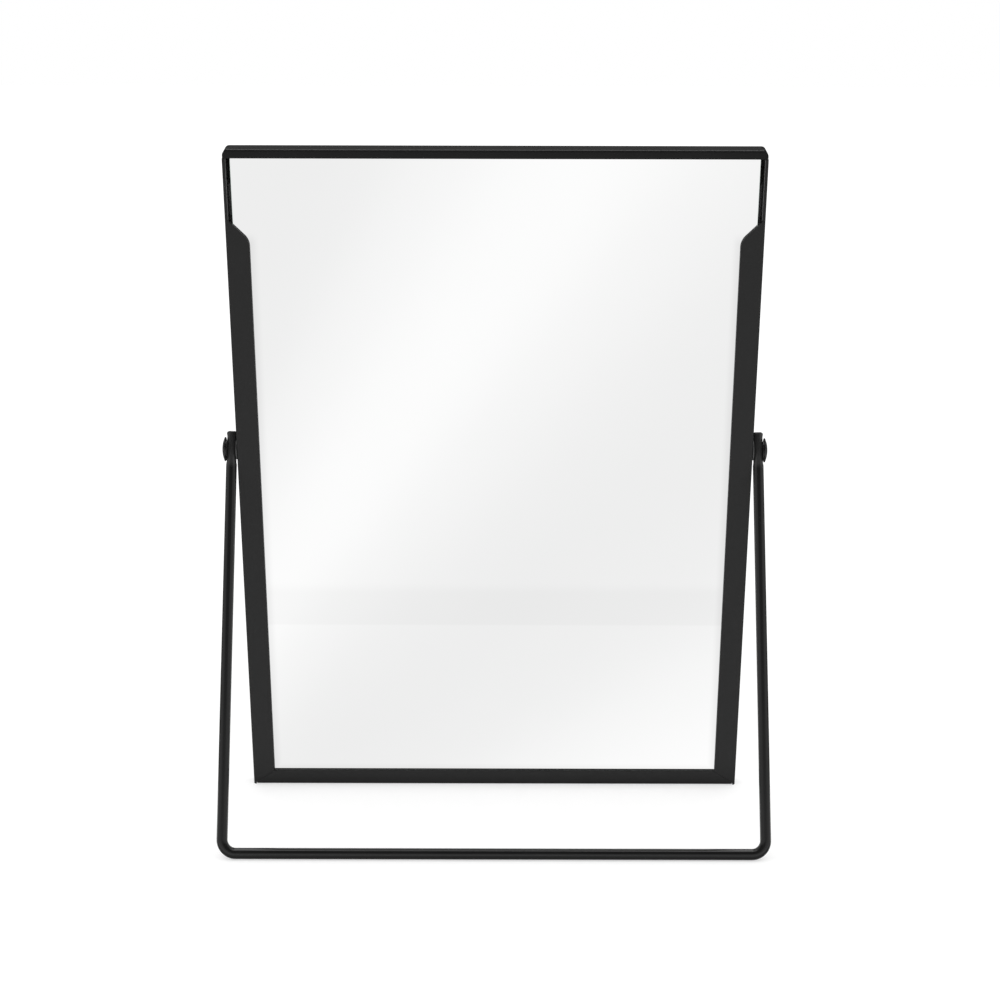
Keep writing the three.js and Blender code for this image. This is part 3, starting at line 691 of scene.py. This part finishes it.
def arc(centre, radius, start, end, steps):
    """Points round part of a circle. The angles are in degrees."""
    turns = [math.radians(start + (end - start) * i / steps) for i in range(steps + 1)]
    return [(centre[0] + radius * math.cos(t), centre[1] + radius * math.sin(t)) for t in turns]


def evaluated_mesh(thing):
    """The mesh of an object with its modifiers worked out."""
    bpy.context.scene.collection.objects.link(thing)
    graph = bpy.context.evaluated_depsgraph_get()
    mesh = bpy.data.meshes.new_from_object(thing.evaluated_get(graph), depsgraph=graph)
    bpy.context.scene.collection.objects.unlink(thing)
    return mesh


def cut(blank, steps, edge_break=EDGE_BREAK):
    """Joins and cuts a blank with other solids, then breaks its sharp edges."""
    for number, (operation, tool) in enumerate(steps):
        bpy.context.scene.collection.objects.link(tool)
        modifier = blank.modifiers.new(f"cut_{number}", "BOOLEAN")
        modifier.operation = operation
        modifier.solver = "EXACT"
        modifier.object = tool
    bevel = blank.modifiers.new("edge_break", "BEVEL")
    bevel.width = edge_break
    bevel.segments = 2
    bevel.limit_method = "ANGLE"
    bevel.angle_limit = EDGE_ANGLE
    mesh = evaluated_mesh(blank)
    for _, tool in steps:
        bpy.data.objects.remove(tool)
    bpy.data.objects.remove(blank)
    return mesh


def settle(name, mesh, place, finishes, body, nodes):
    """Puts a finished mesh in its leaning place as a named piece that rides on a body."""
    built = bmesh.new()
    built.from_mesh(mesh)
    bmesh.ops.remove_doubles(built, verts=built.verts, dist=0.002 * MM)
    bmesh.ops.dissolve_degenerate(built, edges=built.edges, dist=0.001 * MM)
    bmesh.ops.recalc_face_normals(built, faces=built.faces)
    loose_edges = sum(1 for e in built.edges if len(e.link_faces) != 2)
    volume = built.calc_volume(signed=True) * 1e9
    built.to_mesh(mesh)
    built.free()
    mesh.transform(place)
    mesh.polygons.foreach_set("use_smooth", [True] * len(mesh.polygons))
    mesh.set_sharp_from_angle(angle=EDGE_ANGLE)
    draft = bpy.data.objects.new(name + "_draft", mesh)
    weighted = draft.modifiers.new("flat_faces", "WEIGHTED_NORMAL")
    weighted.keep_sharp = True
    final = evaluated_mesh(draft)
    bpy.data.objects.remove(draft)
    bpy.data.meshes.remove(mesh)
    final.name = name
    final.materials.clear()
    for finish in finishes:
        final.materials.append(finish)
    piece = bpy.data.objects.new(name, final)
    bpy.context.scene.collection.objects.link(piece)
    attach(piece, body)
    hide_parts(*nodes)
    triangles = sum(len(p.vertices) - 2 for p in final.polygons)
    print(name, triangles, "triangles", round(volume, 1), "mm3, open edges", loose_edges)
    return piece


print("mesh helpers ready")

# %% [markdown]
# ## Folded side channels
#
# Each side is a strip of 1.2 mm steel folded into a U, with its web outside and its open side
# towards the glass. At the foot the flanges are mitred. The front flange stops short of the top, in
# a 45 degree end with one rounded corner, so that the glass can be slid in under the rail. The
# fold is drawn as a section with fine bends, and the section is drawn out along the side.

# %% Fold the side channels
FOLD_RADIUS = 1.0 * MM
INNER_FOLD = 0.25 * MM
FOLD_STEPS = 8
NOTCH_RADIUS = 7.0 * MM
MITRE_GAP = 0.12 * MM
HOLE_RADIUS = 1.65 * MM
RIVET_HOLE_RADIUS = 1.7 * MM
CUT_PAST = 3 * MM
FIT_GAP = 0.3 * MM

HALF_WIDTH = side_high.x
HALF_DEPTH = side_high.y
FOOT = side_low.z
WEB_INNER = HALF_WIDTH - SHEET
FLANGE_INNER = side_low.x
FOOT_FLANGE_TOP = bottom_high.z
rivet_low, rivet_high = upright_box(PANEL, "right_rail_rivet")
RIVET_X = (rivet_low.x + rivet_high.x) / 2
RIVET_Z = (rivet_low.z + rivet_high.z) / 2


def fold_section(flange):
    """A folded U: u runs inward from the web's outer face, and v across the depth."""
    half, inner = HALF_DEPTH, HALF_DEPTH - SHEET
    outer_back = arc((FOLD_RADIUS, half - FOLD_RADIUS), FOLD_RADIUS, 90, 180, FOLD_STEPS)
    outer_front = arc((FOLD_RADIUS, FOLD_RADIUS - half), FOLD_RADIUS, 180, 270, FOLD_STEPS)
    fillet = SHEET + INNER_FOLD
    inner_front = arc((fillet, INNER_FOLD - inner), INNER_FOLD, 270, 180, 3)
    inner_back = arc((fillet, inner - INNER_FOLD), INNER_FOLD, 180, 90, 3)
    return (
        [(flange, half)] + outer_back + outer_front + [(flange, -half), (flange, -inner)]
        + inner_front + inner_back + [(flange, inner)]
    )


def mitre_height(x, down):
    """The height of the mitre line at x, moved down by a gap."""
    slope = (FOOT_FLANGE_TOP - FOOT) / (FLANGE_INNER - HALF_WIDTH)
    return FOOT + slope * (x - HALF_WIDTH) - down


def notch_outline(side):
    """What is cut away from the front flange under the rail."""
    tangent = NOTCH_RADIUS * math.tan(math.pi / 8)
    centre = (FLANGE_INNER + NOTCH_RADIUS, NOTCH_BOTTOM - tangent)
    outside = FLANGE_INNER - SHEET
    top = rail_high.z + SHEET
    points = [(outside, centre[1])] + arc(centre, NOTCH_RADIUS, 180, 135, 8)
    points += [(WEB_INNER, NOTCH_BOTTOM + WEB_INNER - FLANGE_INNER), (WEB_INNER, top), (outside, top)]
    return [(side * x, z) for x, z in points]


def mitre_outline(side):
    inner = FLANGE_INNER - CUT_PAST
    points = [
        (inner, FOOT - CUT_PAST), (WEB_INNER, FOOT - CUT_PAST),
        (WEB_INNER, mitre_height(WEB_INNER, 0)), (inner, mitre_height(inner, 0)),
    ]
    return [(side * x, z) for x, z in points]


def fold_side(side):
    def corner(u, v, w):
        return (side * (HALF_WIDTH - u), v, w)

    past = 2 * HALF_DEPTH
    blank = prism("side_blank", fold_section(HALF_WIDTH - FLANGE_INNER), FOOT, side_high.z, corner)
    rivet = disc((side * RIVET_X, RIVET_Z), RIVET_HOLE_RADIUS)
    drill_from, drill_to = side * (FLANGE_INNER - SHEET), side * (HALF_WIDTH + SHEET)
    return cut(blank, [
        ("DIFFERENCE", prism("mitre", mitre_outline(side), -past, past, along_y)),
        ("DIFFERENCE", prism("notch", notch_outline(side), -past, SHEET - HALF_DEPTH, along_y)),
        ("DIFFERENCE", prism("rivet_hole", rivet, 0, past, along_y)),
        ("DIFFERENCE", prism("pivot_hole", disc((0, 0), HOLE_RADIUS), drill_from, drill_to, along_x)),
    ])


for side, word in ((-1, "left"), (1, "right")):
    settle(f"folded_{word}_side", fold_side(side), PANEL, [frame_coat], "mirror_panel",
           [f"{word}_side_channel"])

# %% [markdown]
# ## Folded bottom channel
#
# The bottom is the same fold with shorter flanges. Its web is the frame's underside, and its ends
# tuck inside the webs of the sides. The mitre leaves a hairline gap, which is what a real corner
# shows before it is filled.

# %% Fold the bottom channel
def foot_corner(u, v, w):
    return (w, v, FOOT + u)


def above_mitre_outline(side):
    inner, outer = FLANGE_INNER - CUT_PAST, HALF_WIDTH + CUT_PAST
    top = FOOT_FLANGE_TOP + 2 * CUT_PAST
    points = [
        (inner, mitre_height(inner, MITRE_GAP)), (outer, mitre_height(outer, MITRE_GAP)),
        (outer, top), (inner, top),
    ]
    return [(side * x, z) for x, z in points]


foot_blank = prism("foot_blank", fold_section(FOOT_FLANGE_TOP - FOOT), bottom_low.x, bottom_high.x,
                   foot_corner)
foot_mesh = cut(foot_blank, [
    ("DIFFERENCE",
     prism("mitre", above_mitre_outline(side), -2 * HALF_DEPTH, 2 * HALF_DEPTH, along_y))
    for side in (-1, 1)
])
settle("folded_bottom", foot_mesh, PANEL, [frame_coat], "mirror_panel",
       ["bottom_channel"])

# %% [markdown]
# ## Top rail
#
# The rail caps the open ends of the sides. It has short lips in front and behind, closed ends with
# rounded corners, and a long tongue behind the glass that is riveted to the back flanges.

# %% Press the top rail
RAIL_CORNER = 2.4 * MM
LIP_BOTTOM = side_high.z + FIT_GAP
TONGUE_BACK = HALF_DEPTH - SHEET - FIT_GAP
TONGUE_FRONT = TONGUE_BACK - SHEET
TONGUE_HALF = WEB_INNER - FIT_GAP


def capped(half, bottom, top, radius, steps=FOLD_STEPS):
    """An outline with two rounded top corners."""
    return (
        [(-half, bottom), (half, bottom)]
        + arc((half - radius, top - radius), radius, 0, 90, steps)
        + arc((radius - half, top - radius), radius, 90, 180, steps)
    )


rail_half = rail_high.x
rail_top = rail_high.z
rail_blank = prism("rail_blank", capped(HALF_DEPTH, LIP_BOTTOM, rail_top, FOLD_RADIUS),
                   -rail_half, rail_half, along_x)
rail_front = capped(rail_half, LIP_BOTTOM - SHEET, rail_top, RAIL_CORNER)
rail_inside = capped(rail_half - SHEET, LIP_BOTTOM - SHEET, rail_top - SHEET, RAIL_CORNER - SHEET)
tongue = [(-TONGUE_HALF, rail_low.z), (TONGUE_HALF, rail_low.z),
          (TONGUE_HALF, rail_top - SHEET / 2), (-TONGUE_HALF, rail_top - SHEET / 2)]
rail_steps = [
    ("INTERSECT", prism("front", rail_front, -2 * HALF_DEPTH, 2 * HALF_DEPTH, along_y)),
    ("DIFFERENCE", prism("inside", rail_inside, SHEET - HALF_DEPTH, HALF_DEPTH - SHEET, along_y)),
    ("UNION", prism("tongue", tongue, TONGUE_FRONT, TONGUE_BACK, along_y)),
]
for side in (-1, 1):
    hole = disc((side * RIVET_X, RIVET_Z), RIVET_HOLE_RADIUS)
    rail_steps.append(("DIFFERENCE", prism("rivet_hole", hole, 0, 2 * HALF_DEPTH, along_y)))
settle("capping_rail", cut(rail_blank, rail_steps), PANEL, [rail_coat], "mirror_panel",
       ["top_rail"])

# %% [markdown]
# ## Glass and backing
#
# The glass is one slab with a narrow ground arris round both faces. The CAD model leaves a gap in
# front of it. Here its front is moved forward until it all but touches the flanges. Each face of the
# slab gets the finish that belongs to it: silver in front, protective paint behind, and a ground
# edge. The backing board is a plain panel with slightly softened edges.

# %% Cut the glass and the board
ARRIS = 0.2 * MM
BOARD_EDGE = 0.3 * MM
PRESSED_GAP = 0.02 * MM
FLAT_ON = 0.99


def slab(name, low, high):
    outline = [(low.x, low.z), (high.x, low.z), (high.x, high.z), (low.x, high.z)]
    return prism(name, outline, low.y, high.y, along_y)


pressed_low = Vector((glass_low.x, SHEET - HALF_DEPTH + PRESSED_GAP, glass_low.z))
glass_mesh = cut(slab("glass_blank", pressed_low, glass_high), [], edge_break=ARRIS)
glass = settle("mirror_plate", glass_mesh, PANEL, [silver, ground_edge, back_paint],
               "mirror_panel", ["mirror_glass"])
facing = PANEL.to_3x3() @ Vector((0, -1, 0))
for face in glass.data.polygons:
    turn = face.normal.dot(facing)
    face.material_index = 0 if turn > FLAT_ON else 2 if turn < -FLAT_ON else 1

board_mesh = cut(slab("board_blank", board_low, board_high), [], edge_break=BOARD_EDGE)
settle("hardboard_back", board_mesh, PANEL, [hardboard], "mirror_panel",
       ["backing_board"])

# %% [markdown]
# ## The bent rod, by rule
#
# The stand is one rod. Its centre line is three straight runs with two bends, its ends are pressed
# flat round the pivots, and the pressed part is drilled. A Geometry Nodes tree follows that rule:
# it draws the line, rounds its corners, runs a circle along it, and then moves the points near each
# pivot. Each of the rod's sizes is a named input, so a thicker rod or a wider eye needs only a new number.

# %% Set up the rod's node tree
rod_tree = new_group("bent_rod", "GeometryNodeTree", [
    ("Rod Diameter", "INPUT", "NodeSocketFloat", ROD),
    ("Half Spacing", "INPUT", "NodeSocketFloat", 0.1),
    ("Leg Length", "INPUT", "NodeSocketFloat", 0.1),
    ("Leg Top", "INPUT", "NodeSocketFloat", 0.01),
    ("Bend Radius", "INPUT", "NodeSocketFloat", 0.006),
    ("Eye Thickness", "INPUT", "NodeSocketFloat", 0.003),
    ("Eye Width", "INPUT", "NodeSocketFloat", 0.008),
    ("Eye Half Length", "INPUT", "NodeSocketFloat", 0.006),
    ("Eye Runout", "INPUT", "NodeSocketFloat", 0.002),
    ("Chamfer", "INPUT", "NodeSocketFloat", 0.0005),
    ("Hole Radius", "INPUT", "NodeSocketFloat", 0.002),
    ("Finish", "INPUT", "NodeSocketMaterial", None),
    ("Geometry", "OUTPUT", "NodeSocketGeometry", None),
])
rod_in = rod_tree.nodes.new("NodeGroupInput").outputs
rod_out = rod_tree.nodes.new("NodeGroupOutput").inputs
print("rod inputs", [socket.name for socket in rod_in if socket.name])

# %% Draw the rod's line and run a circle along it
LEG_CUTS = 360
BEND_POINTS = 14
ROD_SIDES = 32
DRILL_SIDES = 40
DRILL_PAST = 20 * MM

t = rod_tree
spacing, leg_length, leg_top = rod_in["Half Spacing"], rod_in["Leg Length"], rod_in["Leg Top"]
index = add(t, "GeometryNodeInputIndex")
from_middle = calc(t, "SUBTRACT", index, 1.5)
corner_x = both(t, spacing, calc(t, "SIGN", from_middle))
is_end = calc(t, "GREATER_THAN", calc(t, "ABSOLUTE", from_middle), 1.0)
whole_leg = calc(t, "ADD", leg_top, leg_length)
corner_z = calc(t, "SUBTRACT", both(t, is_end, whole_leg), leg_length)
corner_place = add(t, "ShaderNodeCombineXYZ", (corner_x, 0.0, corner_z))
four_points = add(t, "GeometryNodeMeshLine", {"Count": 4})
placed = add(t, "GeometryNodeSetPosition", {"Geometry": four_points, "Position": corner_place})
line = add(t, "GeometryNodeMeshToCurve", {0: placed})
rounded = add(t, "GeometryNodeFilletCurve",
              {"Curve": line, "Count": BEND_POINTS, "Radius": rod_in["Bend Radius"]}, mode="POLY")

line_x, _, _ = split(t, add(t, "GeometryNodeInputPosition"))
first_run = calc(t, "LESS_THAN", add(t, "GeometryNodeInputIndex"), 0.5)
last_run = calc(t, "GREATER_THAN", line_x, calc(t, "SUBTRACT", spacing, 0.01 * MM))
leg_cuts = both(t, calc(t, "MAXIMUM", first_run, last_run), float(LEG_CUTS))
divided = add(t, "GeometryNodeSubdivideCurve", {"Curve": rounded, "Cuts": leg_cuts})
half_rod = calc(t, "DIVIDE", rod_in["Rod Diameter"], 2.0)
circle = add(t, "GeometryNodeCurvePrimitiveCircle", {"Resolution": ROD_SIDES, "Radius": half_rod})
round_rod = add(t, "GeometryNodeCurveToMesh",
                {"Curve": divided, "Profile Curve": circle, "Fill Caps": True})
print("rod nodes so far", len(t.nodes))

# %% Press the eyes, chamfer the ends and drill the holes
x, y, z = split(t, add(t, "GeometryNodeInputPosition"))
leg_x = both(t, calc(t, "SIGN", x), spacing)
height = calc(t, "ABSOLUTE", z)
half_length, runout = rod_in["Eye Half Length"], rod_in["Eye Runout"]
reach = calc(t, "ADD", half_length, runout)

pressed = ramp(t, height, half_length, reach, 1.0, 0.0)
half_eye = calc(t, "DIVIDE", rod_in["Eye Thickness"], 2.0)
limit = calc(t, "ADD", half_rod, both(t, pressed, calc(t, "SUBTRACT", half_eye, half_rod)))
across = calc(t, "MINIMUM", calc(t, "SUBTRACT", x, leg_x), limit)
across = calc(t, "MAXIMUM", across, both(t, limit, -1.0))
bulge = ramp(t, height, 0.0, reach, 1.0, 0.0)
widest = calc(t, "SUBTRACT", calc(t, "DIVIDE", rod_in["Eye Width"], rod_in["Rod Diameter"]), 1.0)
wider = calc(t, "ADD", 1.0, both(t, bulge, widest))

from_top = calc(t, "DIVIDE", calc(t, "SUBTRACT", leg_top, z), rod_in["Chamfer"])
short = calc(t, "MAXIMUM", calc(t, "SUBTRACT", 1.0, from_top), 0.0)
trim = calc(t, "SUBTRACT", 1.0, both(t, short, calc(t, "DIVIDE", rod_in["Chamfer"], half_rod)))
new_x = calc(t, "ADD", leg_x, both(t, across, trim))
new_y = both(t, both(t, y, wider), trim)
near_pivot = calc(t, "GREATER_THAN", z, both(t, reach, -1.0))
shaped = add(t, "GeometryNodeSetPosition", {
    "Geometry": round_rod, "Selection": near_pivot,
    "Position": add(t, "ShaderNodeCombineXYZ", (new_x, new_y, z)),
})
drill = add(t, "GeometryNodeMeshCylinder", {
    "Vertices": DRILL_SIDES, "Radius": rod_in["Hole Radius"],
    "Depth": calc(t, "ADD", both(t, spacing, 2.0), DRILL_PAST),
})
drill_across = add(t, "GeometryNodeTransform",
                   {"Geometry": drill, "Rotation": (0.0, math.pi / 2, 0.0)})
drilled = add(t, "GeometryNodeMeshBoolean", {0: shaped, 1: drill_across},
              operation="DIFFERENCE", solver="EXACT")
realized = add(t, "GeometryNodeRealizeInstances", {0: drilled})
t.links.new(add(t, "GeometryNodeSetMaterial", {"Geometry": realized, "Material": rod_in["Finish"]}),
            rod_out["Geometry"])
print("rod nodes", len(t.nodes))

# %% [markdown]
# A Geometry Nodes tree gets its sizes through a modifier. The modifier knows each input by its
# identifier, such as Socket_2, and not by its name, so the helper looks the identifier up.

# %% Run the rod's tree
EYE_THICKNESS = 4.1 * MM
EYE_WIDTH = 5.3 * MM
EYE_HALF_LENGTH = 5.7 * MM
EYE_RUNOUT = 1.7 * MM
BEND_RADIUS = 6.0 * MM
END_CHAMFER = 0.5 * MM
washer_low, _ = upright_box(STAND, "right_spring_washer")
LEG_X = washer_low.x - WASHER_GAP - EYE_THICKNESS / 2


def grow(name, tree, values, mesh=None):
    """Runs a Geometry Nodes tree with the given inputs and returns the plain mesh."""
    seed = bpy.data.objects.new(name, mesh or bpy.data.meshes.new(name))
    modifier = seed.modifiers.new("grow", "NODES")
    modifier.node_group = tree
    names = {s.name: s.identifier for s in tree.interface.items_tree if s.in_out == "INPUT"}
    for label, value in values.items():
        modifier[names[label]] = value
    grown = evaluated_mesh(seed)
    seed.modifiers.remove(modifier)
    bpy.data.objects.remove(seed)
    return grown


rod_mesh = grow("bent_rod", rod_tree, {
    "Rod Diameter": ROD, "Half Spacing": LEG_X, "Leg Length": LEG_LENGTH,
    "Leg Top": leg_high.z, "Bend Radius": BEND_RADIUS, "Eye Thickness": EYE_THICKNESS,
    "Eye Width": EYE_WIDTH, "Eye Half Length": EYE_HALF_LENGTH, "Eye Runout": EYE_RUNOUT,
    "Chamfer": END_CHAMFER, "Hole Radius": HOLE_RADIUS, "Finish": rod_enamel,
})
rod_stand = settle("bent_rod_stand", rod_mesh, STAND, [rod_enamel], "stand",
                   ["stand_frame"])

# %% [markdown]
# ## Turned parts, by rule
#
# Screws, rivets and washers are all turned: a half section swept round an axis. One Geometry Nodes
# tree makes them. It takes the half section as a row of points, wraps a grid round the axis, may
# cut a hexagon socket, and sets a copy on the left and on the right. Afterwards the copies are
# made real, because a later export doesn't keep instances.

# %% Build the turning tree
turn_tree = new_group("turned_pair", "GeometryNodeTree", [
    ("Half Section", "INPUT", "NodeSocketGeometry", None),
    ("Sides", "INPUT", "NodeSocketInt", 48),
    ("Socket Across Corners", "INPUT", "NodeSocketFloat", 0.0),
    ("Socket Middle", "INPUT", "NodeSocketFloat", 0.0),
    ("Socket Depth", "INPUT", "NodeSocketFloat", 0.0),
    ("First Place", "INPUT", "NodeSocketVector", None),
    ("Step to Second", "INPUT", "NodeSocketVector", None),
    ("First Turn", "INPUT", "NodeSocketVector", None),
    ("Turn to Second", "INPUT", "NodeSocketVector", None),
    ("Finish", "INPUT", "NodeSocketMaterial", None),
    ("Geometry", "OUTPUT", "NodeSocketGeometry", None),
])
t = turn_tree
turn_in = t.nodes.new("NodeGroupInput").outputs
turn_out = t.nodes.new("NodeGroupOutput").inputs
size = t.nodes.new("GeometryNodeAttributeDomainSize")
t.links.new(turn_in["Half Section"], size.inputs[0])
rows = size.outputs["Point Count"]
grid = add(t, "GeometryNodeMeshGrid", {
    "Vertices X": calc(t, "ADD", turn_in["Sides"], 1.0), "Vertices Y": rows,
})
number = add(t, "GeometryNodeInputIndex")
row = calc(t, "FLOORED_MODULO", number, rows)
turn = calc(t, "FLOOR", calc(t, "DIVIDE", number, rows))
angle = both(t, calc(t, "DIVIDE", turn, turn_in["Sides"]), 2 * math.pi)
sample = t.nodes.new("GeometryNodeSampleIndex")
sample.data_type = "FLOAT_VECTOR"
t.links.new(turn_in["Half Section"], sample.inputs["Geometry"])
t.links.new(add(t, "GeometryNodeInputPosition"), sample.inputs["Value"])
t.links.new(row, sample.inputs["Index"])
radius, _, rise = split(t, sample.outputs[0])
wrapped = add(t, "ShaderNodeCombineXYZ", (
    both(t, radius, calc(t, "COSINE", angle)), both(t, radius, calc(t, "SINE", angle)), rise,
))
turned = add(t, "GeometryNodeSetPosition", {"Geometry": grid, "Position": wrapped})
merged = add(t, "GeometryNodeMergeByDistance", {"Geometry": turned, "Distance": 0.001 * MM})
hexagon = add(t, "GeometryNodeMeshCylinder", {
    "Vertices": 6, "Radius": calc(t, "DIVIDE", turn_in["Socket Across Corners"], 2.0),
    "Depth": turn_in["Socket Depth"],
})
raised = add(t, "ShaderNodeCombineXYZ", (0.0, 0.0, turn_in["Socket Middle"]))
socket_cut = add(t, "GeometryNodeTransform", {"Geometry": hexagon, "Translation": raised})
bored = add(t, "GeometryNodeMeshBoolean", {0: merged, 1: socket_cut},
            operation="DIFFERENCE", solver="EXACT")
has_socket = calc(t, "GREATER_THAN", turn_in["Socket Depth"], 0.0)
one = add(t, "GeometryNodeSwitch", {"Switch": has_socket, "False": merged, "True": bored},
          input_type="GEOMETRY")
two_points = add(t, "GeometryNodeMeshLine", {
    "Count": 2, "Start Location": turn_in["First Place"], "Offset": turn_in["Step to Second"],
})
second = add(t, "GeometryNodeInputIndex")
extra_turn = add(t, "ShaderNodeVectorMath", {0: turn_in["Turn to Second"], "Scale": second},
                 operation="SCALE")
whole_turn = add(t, "ShaderNodeVectorMath", (turn_in["First Turn"], extra_turn), operation="ADD")
pair = add(t, "GeometryNodeInstanceOnPoints",
           {"Points": two_points, "Instance": one, "Rotation": whole_turn})
real = add(t, "GeometryNodeRealizeInstances", {0: pair})
t.links.new(add(t, "GeometryNodeSetMaterial", {"Geometry": real, "Material": turn_in["Finish"]}),
            turn_out["Geometry"])
print("turning nodes", len(t.nodes))

# %% [markdown]
# The half section is a row of joined points: the distance from the axis is X and the height along
# the axis is Z. Pivot parts lie along X, so the left copy is turned one way and the right copy the
# other, while the rivets both point to the back.

# %% Turn the screws, rivets and washers
OUTWARD = ((0.0, -math.pi / 2, 0.0), (0.0, math.pi, 0.0))
BACKWARD = ((-math.pi / 2, 0.0, 0.0), (0.0, 0.0, 0.0))
SIDES = 48


def half_section(points):
    mesh = bpy.data.meshes.new("half_section")
    links = [(i, i + 1) for i in range(len(points) - 1)]
    mesh.from_pydata([(radius, 0, height) for radius, height in points], links, [])
    return mesh


def turn_pair(name, points, first, step, turns, finish, socket=(0.0, 0.0, 0.0)):
    """Turns a half section and sets one copy at first and one at first plus step."""
    return grow(name, turn_tree, {
        "Sides": SIDES, "Socket Across Corners": socket[0], "Socket Middle": socket[1],
        "Socket Depth": socket[2], "First Place": first, "Step to Second": step,
        "First Turn": turns[0], "Turn to Second": turns[1], "Finish": finish,
    }, half_section(points))


def ring(inner, outer, thickness, edge):
    """The closed half section of a washer with broken edges."""
    return [
        (inner, edge), (inner + edge, 0), (outer - edge, 0), (outer, edge),
        (outer, thickness - edge), (outer - edge, thickness), (inner + edge, thickness),
        (inner, thickness - edge), (inner, edge),
    ]


screw_low, screw_high = upright_box(PANEL, "right_pivot_screw")
HEAD_RADIUS = screw_high.y
HEAD_HEIGHT = 1.5 * MM
RIM = 0.4 * MM
SHANK_RADIUS = 1.5 * MM
SCREW_EDGE = 0.15 * MM
DOME_STEPS = 12
reach = screw_high.x - HEAD_HEIGHT - screw_low.x
rise = HEAD_HEIGHT - RIM
ball = (HEAD_RADIUS ** 2 + rise ** 2) / (2 * rise)
spread = math.asin(HEAD_RADIUS / ball)
dome = [
    (ball * math.sin(a), reach + RIM + ball * (math.cos(a) - math.cos(spread)))
    for a in (spread * (1 - i / DOME_STEPS) for i in range(DOME_STEPS + 1))
]
screw_points = [
    (0, 0), (SHANK_RADIUS - SCREW_EDGE, 0), (SHANK_RADIUS, SCREW_EDGE), (SHANK_RADIUS, reach),
    (HEAD_RADIUS - SCREW_EDGE, reach), (HEAD_RADIUS, reach + SCREW_EDGE),
] + dome
SOCKET = 2.0 * MM * 2 / math.sqrt(3)
SOCKET_DEPTH = 0.9 * MM
screws = turn_pair(
    "pivot_screws", screw_points, (-screw_low.x, 0, 0), (2 * screw_low.x, 0, 0), OUTWARD,
    screw_enamel, socket=(SOCKET, reach + HEAD_HEIGHT, 2 * SOCKET_DEPTH),
)
settle("domed_pivot_screws", screws, PANEL, [screw_enamel], "mirror_panel",
       ["left_pivot_screw", "right_pivot_screw"])

# %% Rivets and washers
RIVET_SHANK = 1.4 * MM
RIVET_TAIL = 0.8 * MM
WASHER_EDGE = 0.08 * MM
RIVET_STEPS = 9
rivet_head = (rivet_high.x - rivet_low.x) / 2
head_base = HALF_DEPTH + WASHER_GAP
tail_back = TONGUE_FRONT - WASHER_GAP
tail_front = tail_back - RIVET_TAIL
rivet_points = [
    (0, tail_front), (RIVET_SHANK + RIVET_TAIL / 2, tail_front),
    (RIVET_SHANK + RIVET_TAIL, tail_back), (RIVET_SHANK, tail_back), (RIVET_SHANK, head_base),
] + [
    (rivet_head * math.cos(a), head_base + (rivet_high.y - head_base) * math.sin(a))
    for a in (math.pi / 2 * i / RIVET_STEPS for i in range(RIVET_STEPS + 1))
]
rivets = turn_pair("rail_rivets", rivet_points, (-RIVET_X, 0, RIVET_Z), (2 * RIVET_X, 0, 0),
                   BACKWARD, frame_coat)
settle("domed_rivets", rivets, PANEL, [frame_coat], "mirror_panel",
       ["left_rail_rivet", "right_rail_rivet"])

for name, word, finish, slot_name in (
    ("nylon_friction_washers", "friction_washer", nylon, "nylon"),
    ("steel_spring_washers", "spring_washer", spring_black, "black_steel"),
):
    low, high = upright_box(STAND, "right_" + word)
    points = ring(HOLE_RADIUS, high.y, high.x - low.x, WASHER_EDGE)
    pair_mesh = turn_pair(name, points, (-low.x, 0, 0), (2 * low.x, 0, 0), OUTWARD, finish)
    settle(name, pair_mesh, STAND, [finish], "stand", ["left_" + word, "right_" + word])

# %% [markdown]
# ## Parts kept from the CAD model
#
# The foam tapes, the rubber blocks, the corner clips and the pivot plates are plain shapes inside
# the frame. Their CAD meshes are already right, so they only get their finishes.

# %% Finish the parts inside the frame
KEPT = {
    "foam_tape": foam, "setting_block": block_rubber, "corner_clip": clip_zinc,
    "pivot_plate": clip_zinc,
}
kept_count = 0
for node_name, node in frame["nodes"].items():
    for ending, finish in KEPT.items():
        if node_name.endswith(ending):
            node.data.materials.clear()
            node.data.materials.append(finish)
            kept_count += 1
print("kept parts", kept_count)

# %% [markdown]
# ## What the mirror leaves out
#
# A real mirror would show the stand's bar as a dark line across the glass. For the look it is kept
# out of all reflections, so the glass never shows the stand.

# %% Keep the stand out of reflections
rod_stand.visible_glossy = False
print("stand seen in reflections:", rod_stand.visible_glossy)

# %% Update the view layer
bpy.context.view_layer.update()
